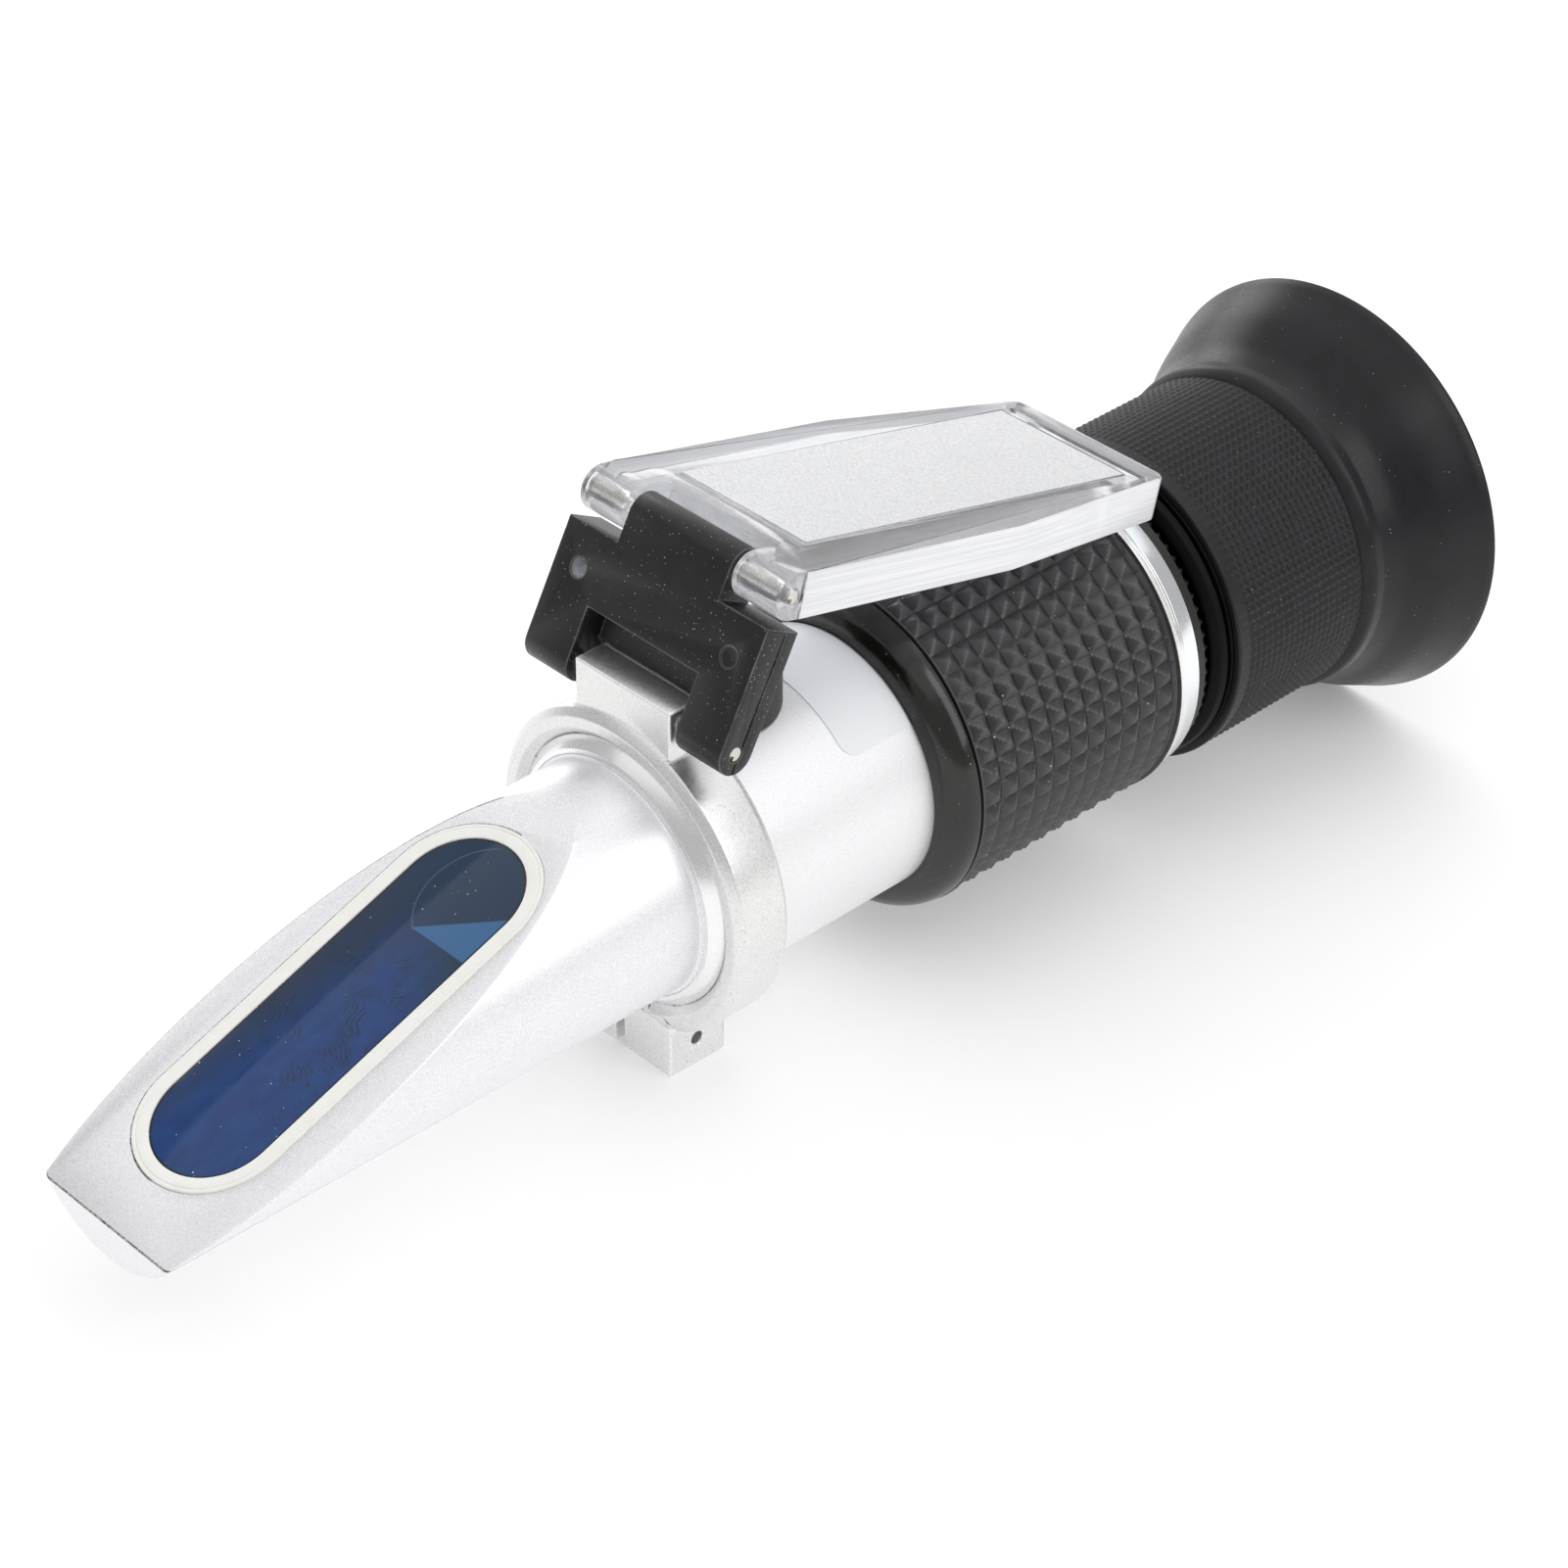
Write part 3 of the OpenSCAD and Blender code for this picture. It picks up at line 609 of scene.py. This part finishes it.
def fingerprint(paint, up, across):
    """Faint dark ridges of a finger mark across the middle of the window."""
    centre_up, centre_across, ridge_rate, wander = 31.0, -7.0, 13.0, 2.2
    from_centre = paint.reach(paint.math("SUBTRACT", up, centre_up),
                              paint.math("SUBTRACT", across, centre_across))
    bent = paint.math("ADD", from_centre, paint.product(paint.noise(0.5, 2.0), wander))
    ridges = paint.math("SINE", paint.product(bent, ridge_rate))
    patches = paint.span(paint.noise(0.45, 4.0, 0.6), 0.50, 0.62)
    below_facet = paint.span(up, FACET_START - 3.0, FACET_START - 1.0, 1.0, 0.0)
    patches = paint.product(patches, below_facet)
    patches = paint.product(patches, paint.span(from_centre, 13.0, 17.0, 1.0, 0.0))
    return paint.product(paint.span(ridges, -0.2, 0.8), patches)


def window_distance(paint, up, across):
    """Millimetres outside the window's outline, below 0 within it."""
    start, length, half = WINDOW
    straight = length / 2 - half
    offset = paint.math("ABSOLUTE", paint.math("SUBTRACT", up, start + length / 2))
    offset = paint.math("MAXIMUM", paint.math("SUBTRACT", offset, straight), 0)
    return paint.math("SUBTRACT", paint.reach(offset, across), half)


def rim_reflection(paint, up, across):
    """Thin oval arc where the window's round end is mirrored in the block."""
    centre_up, centre_across, half_up, half_across = 43.4, -1.9, 6.1, 5.4
    a = paint.math("DIVIDE", paint.math("SUBTRACT", up, centre_up), half_up)
    b = paint.math("DIVIDE", paint.math("SUBTRACT", across, centre_across), half_across)
    off = paint.math("ABSOLUTE", paint.math("SUBTRACT", paint.squares(a, b), 1.0))
    arc_line = paint.span(off, 0.01, 0.035, 1.0, 0.0)
    return paint.product(arc_line, paint.span(across, 0.2, 1.0))


def make_materials():
    """Every material of the object by its name."""
    paints = make_metals() + make_blacks()
    paints += [cream_paint(), lens_paint(), prism_paint()]
    paints += [acrylic_paint("clear_acrylic", 0.94), acrylic_paint("milky_acrylic", 0.12), frosted_paint()]
    return {paint.name: paint.material for paint in paints}


MATERIALS = make_materials()
SLOT_OF = {subpart["node"]: subpart["material_slot"] for subpart in frame["record"]["subparts"]}


def paint_cad_nodes():
    """Gives every CAD node its slot's procedural material, the ones inside the tube included."""
    for name, obj in frame["nodes"].items():
        obj.data.materials.clear()
        obj.data.materials.append(MATERIALS[SLOT_OF[name]])
        shade(obj, 30)


# ---------------------------------------------------------------- front of the instrument

def from_face(obj):
    """Moves a shape made in the prism face's frame to the optical axis's own."""
    obj.data.transform(AXIS.inverted() @ FACE)
    return obj


def above_face(name, height):
    """Cutter for everything above a height over the prism face."""
    return from_face(box(name, (-10, -40, height), (90, 40, 40)))


def prism_tube():
    """Housing cut off along the face, hollow, with a painted highlight along its near edge and a dark line of
    painted shade on its tip and far edge.
    """
    start, end, _, _, _ = extent("prism_tube")
    tip_r, shoulder_r, spigot_r, bore = 11.4, 12.0, 12.38, 10
    tube = lathe("prism_tube_shell", soften([
        (start, 0), (start, tip_r, 0.5), (-0.5, shoulder_r), (-0.45, spigot_r), (end, spigot_r), (end, 0)]))
    cavity = cut(plug("cavity", bore, start + WALL, end + 1), above_face("roof", -WALL))
    cut(tube, above_face("chord", 0), cavity,
        from_face(slab("glass_hole", window_outline(0.02), -WALL - 0.5, 2)),
        from_face(slab("seal_seat", window_outline(SEAL_WIDTH + 0.02), -0.8, 2)))
    bevel(tube, 0.14, 3, 30, 1)
    add_slots(tube, 3)
    # bevels keep the painted highlight on the near side; at the tip, and on the far side ahead of station -2, they
    # get the painted shade line; the rest of the far side is plain aluminium
    for face in tube.data.polygons:
        at_tip = face.center.x < start + 0.4
        if face.material_index and (at_tip or face.center.y > 0):
            face.material_index = 2 if at_tip or face.center.x < -2 else 0
    place(tube, AXIS, "body", "prism_tube", ["blasted_aluminium", "painted_highlight_edge", "painted_shade_line"])


def prism():
    """Glass block that fills the window."""
    glass = slab("prism_block", window_outline(-0.02), -WALL, 0.05)
    bevel(glass, 0.12, 2, 40)
    place(glass, FACE, "body", "prism", ["prism_glass"])


def sweep_window(name, profile):
    """Closed ring around the window from (distance from its edge, height) points."""
    rings = []
    for offset, height in profile:
        rings.append([(p.x, p.y, height) for p in window_outline(offset, 40)])
    n = len(rings[0])
    verts = [p for ring in rings for p in ring]
    faces = []
    for i in range(len(rings)):
        j = (i + 1) % len(rings)
        for k in range(n):
            m = (k + 1) % n
            faces.append((i * n + k, i * n + m, j * n + m, j * n + k))
    return mesh_object(name, verts, faces)


def prism_seal():
    """Bead round the window, a little proud of the face, with a fine groove near its outer edge."""
    bottom = -0.78
    outer = SEAL_WIDTH - 0.02
    profile = soften([
        (0.0, bottom), (0.0, 0.16, 0.12), (1.12, 0.2, 0.1), (1.2, 0.04, 0.05), (1.28, 0.18, 0.05),
        (outer, 0.16, 0.1), (outer, bottom)], 3)
    place(sweep_window("prism_seal_bead", profile), FACE, "body", "prism_seal", ["cream_seal"], 50)


def calibration_station():
    """Station of the calibration cap's middle."""
    return sum(extent("calibration_cap")[:2]) / 2


def main_tube():
    """Satin tube with a bright turned lip in front and a hole for the calibration bush."""
    start, end, radius, _, _ = extent("main_tube")
    bore, lip_r, lip_end = 12.4, 12.85, 0.75
    tube = lathe("main_tube_shell", soften([
        (start, bore), (start, lip_r, 0.05), (lip_end, radius, 0.12), (end, radius), (end, bore)]))
    add_slots(tube, 2)
    for face in tube.data.polygons:
        face.material_index = int(face.center.x < 0.7 and face.normal.x < -0.3)
    cut(tube, post("bush_hole", 2.9, 8, 20, (calibration_station(), 0)))
    place(tube, AXIS, "body", "main_tube", ["satin_aluminium", "turned_lip"])


def hinge_bracket(top):
    """Block with a flat top that rounds off about the hinge pin."""
    front, rear, foot_z, half, knuckle_r = 1, 5.2, 14.45, 6.4, 2.5
    drop = math.degrees(math.asin((top - PIN_HEIGHT) / knuckle_r))
    crown = [Vector((front, top))] + arc(PIN_STATION, PIN_HEIGHT, knuckle_r, drop, 21.3, 10)
    outline = [Vector((front, foot_z))] + crown + [Vector((rear, foot_z))]
    return slab("bracket", outline, -half, half, "XZY")


def clamp_ring():
    """Casting with the hinge bracket above and the split lug with its screw holes below."""
    _, _, radius, bottom, top = extent("clamp_ring")
    width, slope, lug_half, lug_height = 6.6, 0.8, 7.2, 6
    ring = lathe("clamp_ring_casting", soften([
        (0.9, SLEEVE_BORE), (0, SLEEVE_BORE + 0.9, 0.1), (0, radius - slope, 0.2), (slope, radius, 0.2),
        (width - slope, radius, 0.3), (width, radius - slope, 0.3), (width, SLEEVE_BORE)]))
    lug = box("lug", (-0.2, -lug_half, bottom), (width + 0.2, lug_half, bottom + lug_height))
    join(ring, hinge_bracket(top), lug)
    screw = (width / 2, -17.2)
    cut(ring, plug("bore", SLEEVE_BORE, -1, width + 1),
        box("split", (-1, -0.6, bottom - 1), (width + 2, 0.6, bottom + lug_height + 1)),
        rod("pin_hole", PIN_BORE_R, -20, 20, (PIN_STATION, PIN_HEIGHT)),
        rod("driver_hole", 0.7, -20, 0, screw),
        rod("screw_hole", 0.97, -5.2, 20, screw),
        rod("head_hole", 1.82, 5.6, 20, screw))
    bevel(ring, 0.22, 3, 32, 1)
    place(ring, AXIS, "body", "clamp_ring", ["die_cast", "worn_edge"])


def bezel_ring():
    """Glossy ring that rounds up from the tube to the grip."""
    start, end, _, _, _ = extent("bezel_ring")
    round_part = arc(end, SLEEVE_BORE + 0.1, end - start, 180, 90, 24)
    flat_part = [Vector((end, SLEEVE_BORE)), Vector((start, SLEEVE_BORE))]
    place(lathe("bezel_round", flat_part + round_part), AXIS, "body", "bezel_ring", ["gloss_black"], 50)


def pyramid(u, v, height):
    """How far below its tip a four-sided pyramid is, at a place in its cell of 1 by 1."""
    rise = 1 - max(abs(2 * u - 1), abs(2 * v - 1))
    return height * rise - height


def rubber_grip():
    """Sleeve of moulded pyramids between two plain borders."""
    start, end, radius, _, _ = extent("rubber_grip")
    rows, columns, samples = 11, 44, 8
    height, border, border_drop, edge = 0.66, 0.6, 0.3, 0.25
    low, high = start + border, end - border

    def relief(x, r, turn):
        if r < radius - 0.001:
            return 0.0
        if not low < x < high:
            return -border_drop
        return pyramid((x - low) / (high - low) * rows % 1, turn * columns % 1, height)

    count = rows * samples
    length = end - start - 2 * border
    top = [Vector((start + border + length * k / count, radius)) for k in range(count + 1)]
    front = soften([(start, SLEEVE_BORE), (start, radius, edge), top[0]])[:-1]
    rear = soften([top[-1], (end, radius, edge), (end, SLEEVE_BORE)])[1:]
    grip = lathe("grip_sleeve", front + top + rear, columns * samples, relief)
    place(grip, AXIS, "body", "rubber_grip", ["grip_rubber"], 20)


def end_ring():
    """Polished band with a cream front edge, and its black rear neck with a row of notches."""
    start, end, radius, _, _ = extent("end_ring")
    band_end, notch_x = start + 3.2, 63.6
    bore, neck_r, notch_floor = 13.5, 16.0, 15.3
    notches, notch_depth = 72, 0.7

    def relief(x, r, turn):
        if x < notch_x or r < notch_floor:
            return 0.0
        return -notch_depth / 2 * (1 + math.cos(2 * math.pi * notches * turn))

    ring = lathe("end_ring_band", soften([
        (start, bore), (start, radius, 0.12), (start + 0.55, radius, 0.1), (start + 0.7, radius - 0.2, 0.08),
        (start + 0.95, radius - 0.2, 0.08), (start + 1.1, radius - 0.05, 0.1),
        (band_end - 0.1, radius - 0.3, 0.1), (band_end, neck_r - 0.1), (band_end + 0.1, neck_r),
        (notch_x - 0.02, neck_r), (notch_x, neck_r), (64.1, neck_r - 0.1), (64.3, 15.2), (end, 14.5),
        (end, bore)]), notches * 8, relief)
    add_slots(ring, 3)
    for face in ring.data.polygons:
        if face.center.x > band_end:
            face.material_index = 1
        elif face.center.x < start + 0.6:
            face.material_index = 2
    place(ring, AXIS, "body", "end_ring", ["polished_ring", "black_plastic", "cream_edge"])


def calibration_cap():
    """Round cap whose underside fits the tube, hollowed for the calibration screw."""
    _, _, radius, _, top = extent("calibration_cap")
    cal_x = calibration_station()
    dome = soften([(0, 8), (radius, 8), (radius, top, 1.9), (0, top)], 10)
    cap = lathe("cap_dome", [Vector((p.y, p.x)) for p in dome], 128)
    cap.data.transform(Matrix.Translation((cal_x, 0, 0)) @ Matrix.Rotation(-math.pi / 2, 4, "Y"))
    face_outward(cap)
    tube_r, screw_room_r, screw_room_top = 14.0, 3.0, 16.3
    cut(cap, plug("tube_below", tube_r, 0, 30),
        post("screw_room", screw_room_r, 0, screw_room_top, (cal_x, 0)))
    bevel(cap, 0.15, 2, 40)
    place(cap, AXIS, "cap", "calibration_cap", ["cap_rubber"])


def blank_label():
    """Foil wrapped round the tube, with rounded front corners."""
    start, end, _, _, _ = extent("blank_label")
    inner, outer, corner = 13.86, 13.95, 1.8
    half_turn = math.radians(50)
    columns, corner_steps = 80, 10
    curve = [math.pi / 2 * k / corner_steps for k in range(corner_steps + 1)]
    stations = [start + corner * (1 - math.cos(angle)) for angle in curve] + [end]
    verts = []
    for radius in (inner, outer):
        for x in stations:
            short = max(0.0, corner - (x - start))
            turn = half_turn - (corner - math.sqrt(corner ** 2 - short ** 2)) / outer
            for k in range(columns + 1):
                a = turn * (2 * k / columns - 1)
                verts.append((x, radius * math.sin(a), radius * math.cos(a)))
    row = columns + 1
    layer = row * len(stations)
    faces = []
    for base in (0, layer):
        for i in range(len(stations) - 1):
            for k in range(columns):
                a = base + i * row + k
                faces.append((a, a + 1, a + row + 1, a + row))
    last = (len(stations) - 1) * row
    edge = list(range(columns)) + [i * row + columns for i in range(len(stations) - 1)]
    edge += [last + k for k in range(columns, 0, -1)] + [i * row for i in range(len(stations) - 1, 0, -1)]
    for a, b in zip(edge, edge[1:] + edge[:1]):
        faces.append((a, b, b + layer, a + layer))
    label = mesh_object("label_foil_sheet", verts, faces)
    place(label, AXIS, "body", "blank_label", ["label_foil"])


# ---------------------------------------------------------------- cover hinge and plate

def link_block(half_t, half, shoulder, slot, slot_top):
    """Moulding with round ends, a tongue on top, and a slot below with a thin web at its back."""
    tongue_half, web_low, web_front, hollow_r = 6.7, 1.7, 0.9, 2.6
    foot = arc(0, 0, half_t, 0, -180, 20)
    block = slab("link_moulding", foot + [Vector((-half_t, shoulder)), Vector((half_t, shoulder))],
                 -half, half, "XZY")
    top = arc(0, pin_gap, half_t, 180, 0, 24)
    tongue = [Vector((-half_t, shoulder - 1))] + top + [Vector((half_t, shoulder - 1))]
    join(block, slab("tongue", tongue, -tongue_half, tongue_half, "XZY"))
    cut(block, box("slot", (-5, -slot, -5), (5, slot, slot_top)))
    web = box("web", (web_front, -slot - 0.01, web_low), (half_t, slot + 0.01, slot_top + 0.5))
    return join(block, cut(web, rod("hollow", hollow_r, -slot - 1, slot + 1)))


def dimple(front, y):
    """Cutter for an ejector mark in the link's front face."""
    radius, height = 1.0, 8.05
    cutter = plug("dimple", radius, front - 1, front + DIMPLE_DEPTH, 72)
    cutter.data.transform(Matrix.Translation((0, y, height)))
    return cutter


def hinge_link():
    """Black link with pin holes, a parting line down each side, and one of its two dimples frosted."""
    half_t, half, shoulder, slot, slot_top = 2.1, 13.2, 12.1, 7.4, 5.3
    hole_r, dimple_y = 0.76, 10.05
    low, high = -2.2, shoulder - 0.4
    block = link_block(half_t, half, shoulder, slot, slot_top)
    cut(block, rod("lower_hole", hole_r, -20, 20), rod("upper_hole", hole_r, -20, 20, (0, pin_gap)),
        box("left_parting", (0.4, half - 0.08, low), (0.55, half + 1, high)),
        box("right_parting", (0.4, -half - 1, low), (0.55, 0.08 - half, high)),
        dimple(-half_t, dimple_y), dimple(-half_t, -dimple_y))
    bevel(block, 0.11, 2, 35, 1)
    add_slots(block, 3)
    for face in block.data.polygons:
        if face.center.y > 9 and abs(face.center.x + half_t - DIMPLE_DEPTH) < 0.02:
            face.material_index = 2
    place(block, LINK, "link", "hinge_link", ["link_plastic", "link_edge", "link_frost"])


def hinge_pin(name, node, half, height):
    """Pin with rounded ends and a small notch in its near end."""
    radius = 0.74
    pin = lathe(name, soften([(-half, 0), (-half, radius, 0.15), (half, radius, 0.15), (half, 0)]), 48)
    cut(pin, box("notch", (-half - 1, 0.1, -0.9), (0.3 - half, 2, -0.2)))
    pin.data.transform(Matrix.Translation((0, 0, height)) @ Matrix.Rotation(math.pi / 2, 4, "Z"))
    place(pin, LINK, "link", node, ["steel"])


def plate_block(half_t, half, end_half, ear_end):
    """Tapered plate with two round ears and, between them, a gap for the link's tongue."""
    length, taper, gap_half, gap_length, ear_inset = 53.9, 29.5, 7.2, 3.3, 0.08
    outline = soften([(ear_end, -half), (taper, -half), (length, -end_half, 1.2), (length, end_half, 1.2),
                      (taper, half), (ear_end, half)])
    plate = slab("plate_moulding", outline, -half_t, half_t)
    root = ear_end + 0.5
    ears = arc(0, 0, half_t, 90, 270, 24) + [Vector((root, -half_t)), Vector((root, half_t))]
    join(plate, slab("ears", ears, ear_inset - half, half - ear_inset, "XZY"))
    return plate, box("gap", (-5, -gap_half, -5), (gap_length, gap_half, 5))


def daylight_plate():
    """Clear plate with milky sides and a raised frosted pad between two grooves."""
    half_t, half, end_half, ear_end = 2.3, 13.1, 9.9, 0.95
    pad_start, pad_end, pad_half, pad_height, groove_half = 5.5, 49.5, 8.3, 0.2, 9.2
    plate, gap = plate_block(half_t, half, end_half, ear_end)
    join(plate, box("pad", (pad_start, -pad_half, half_t - 0.5), (pad_end, pad_half, half_t + pad_height)))
    cut(plate, gap, rod("pin_hole", PIN_BORE_R, -20, 20),
        box("pad_groove", (pad_start - 0.7, -pad_half, half_t - 0.3), (pad_start - 0.3, pad_half, 5)),
        box("end_groove", (pad_end + 1.2, -groove_half, half_t - 0.35), (pad_end + 1.8, groove_half, 5)))
    bevel(plate, 0.22, 3, 35)
    add_slots(plate, 3)
    for face in plate.data.polygons:
        at_side = abs(face.normal.y) > 0.7 and abs(face.center.y) > end_half - 1
        if face.center.z > half_t + 0.15 and face.normal.z > 0.9:
            face.material_index = 1
        elif at_side and face.center.x > ear_end:
            face.material_index = 2
    plate.visible_shadow = False     # clear plastic: light passes to the tube below it
    place(plate, PLATE, "plate", "daylight_plate", ["clear_acrylic", "frosted_acrylic", "milky_acrylic"])


# ---------------------------------------------------------------- eyepiece

def focus_ring():
    """Collar with a narrow groove, and a spigot inside the rubber sleeve."""
    start, end, _, _, _ = extent("focus_ring")
    sleeve_start = extent("eyecup")[0]
    bore, groove_r, collar_r, spigot_r = 13.45, 15.9, 16.6, 15.6
    ring = lathe("focus_collar", soften([
        (start, bore), (start, 15.4, 0.2), (start + 0.6, 16.3, 0.2), (start + 1.5, 16.5, 0.2),
        (start + 1.6, groove_r), (start + 1.8, groove_r), (start + 1.9, collar_r, 0.1),
        (sleeve_start, collar_r, 0.1), (sleeve_start, spigot_r), (end, spigot_r), (end, bore)], 3))
    place(ring, AXIS, "focus", "focus_ring", ["collar_black"])


def eyecup():
    """Knurled sleeve, a rounded bead behind it, and the flared cup with its bowl, the cup in a glossier copy of
    the rubber darkened as painted shade.
    """
    start, end, rim_r, _, _ = extent("eyecup")
    sleeve_r, sleeve_bore, eye_hole_r, cup_start = 17.3, 15.6, 11.4, 87
    rows, columns, samples, height = 20, 114, 6, 0.22
    low, high = start + 1.9, 86.2

    def relief(x, r, turn):
        if abs(r - sleeve_r) > 0.001 or not low < x < high:
            return 0.0
        return pyramid((x - low) / (high - low) * rows % 1, turn * columns % 1, height)

    count = rows * samples
    knurl = [Vector((low + (high - low) * k / count, sleeve_r)) for k in range(count + 1)]
    neck = flowing([(86.4, 17.35), (86.9, 17.75), (87.5, 17.95), (88.2, 17.95), (88.9, 18.0), (91, 18.7),
                    (93, 19.8), (95, 20.9), (98.2, 22.3), (99.2, 22.75), (99.8, 22.95)])
    lip = soften([(99.8, 22.95), (end, rim_r, 0.3), (end, 21.8, 0.3), (97.8, 20.8)])
    bowl = flowing([(97.6, 20.7), (93.7, 18), (90.5, 14.6), (89.3, eye_hole_r)])
    front = soften([(start, sleeve_bore), (start, sleeve_r, 0.3), (low, sleeve_r)])
    seat = [Vector((86, eye_hole_r)), Vector((86, sleeve_bore))]
    outline = front[:-1] + knurl + neck + lip[1:-1] + bowl + seat
    cup = lathe("eyecup_rubber", outline, columns * samples, relief)
    # the cup's faces take the glossier copy of the rubber, darkened as painted shade
    add_slots(cup, 2)
    for face in cup.data.polygons:
        face.material_index = int(face.center.x > cup_start)
    place(cup, AXIS, "focus", "eyecup", ["eyecup_rubber", "cup_gloss_shaded"], 30)


# ---------------------------------------------------------------- stage

def floor():
    """Pale floor that touches the lug's front edge and the eyecup's rim."""
    lug_low = Vector((station(-0.2).x, 0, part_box("clamp_ring")[0].z))
    cup_low, cup_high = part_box("eyecup")
    rim_low = Vector((cup_high.x, 0, cup_low.z))
    tilt = math.atan2(lug_low.z - rim_low.z, rim_low.x - lug_low.x)
    bpy.ops.mesh.primitive_plane_add(size=6)
    ground = bpy.context.object
    ground.name = "floor"
    ground.matrix_world = Matrix.Translation(rim_low) @ Matrix.Rotation(tilt, 4, "Y")
    paint = Paint("floor_paper", Roughness=0.7, Emission_Color=(1.0, 1.0, 0.985, 1.0), Emission_Strength=0.22)
    paint.to_shader(shaded(paint, 0.01, (0.90, 0.90, 0.90), (0.93, 0.93, 0.93)), "Base Color")
    ground.data.materials.append(paint.material)


def area_light(name, at, width, power, height=None):
    """Soft box aimed at the middle of the part: a square one, unless a height is given."""
    aim = Vector((0, 0, 0.02))
    data = bpy.data.lights.new(name, "AREA")
    data.energy = power
    data.size = width
    if height:
        data.shape = "RECTANGLE"
        data.size_y = height
    light = bpy.data.objects.new(name, data)
    light.location = at
    light.rotation_euler = (aim - Vector(at)).to_track_quat("-Z", "Y").to_euler()
    bpy.context.scene.collection.objects.link(light)


def studio():
    """Even white surroundings and five soft boxes."""
    world = bpy.data.worlds.new("studio")
    world.use_nodes = True
    sky = world.node_tree.nodes["Background"]
    sky.inputs["Color"].default_value = (1.0, 1.0, 1.0, 1.0)
    sky.inputs["Strength"].default_value = 0.48
    bpy.context.scene.world = world
    bpy.context.scene.view_settings.view_transform = "Standard"
    area_light("overhead", (0.0, 0.0, 1.2), 2.4, 7.8)
    area_light("high_box", (0.62, 0.05, 0.95), 0.9, 1.4)
    area_light("right_box", (0.78, 0.80, 0.50), 0.8, 0.9)
    area_light("front_strip", (0.30, -0.92, 0.72), 0.50, 3.0, 1.1)
    area_light("back_box", (0.30, 1.10, 0.36), 0.8, 2.4, 0.5)


def camera():
    """Camera at the photo's viewing angle."""
    azimuth, elevation, roll = -43.672, 35.679, 0.201
    eye_point = (-0.2351, -0.24732, 0.26826)
    data = bpy.data.cameras.new("camera")
    data.sensor_width = 36.0
    data.lens = 100.98
    eye = bpy.data.objects.new("camera", data)
    turn = Euler((math.radians(90 - elevation), 0, math.radians(azimuth))).to_matrix()
    turn = turn @ Matrix.Rotation(math.radians(roll), 3, "Z")
    eye.matrix_world = Matrix.Translation(eye_point) @ turn.to_4x4()
    bpy.context.scene.collection.objects.link(eye)
    bpy.context.scene.camera = eye


camera()
paint_cad_nodes()
prism_tube()
prism()
prism_seal()
main_tube()
clamp_ring()
bezel_ring()
rubber_grip()
end_ring()
calibration_cap()
blank_label()
hinge_link()
hinge_pin("lower_pin", "lower_hinge_pin", 13.1, 0.0)
hinge_pin("upper_pin", "upper_hinge_pin", 12.9, pin_gap)
daylight_plate()
focus_ring()
eyecup()
floor()
studio()
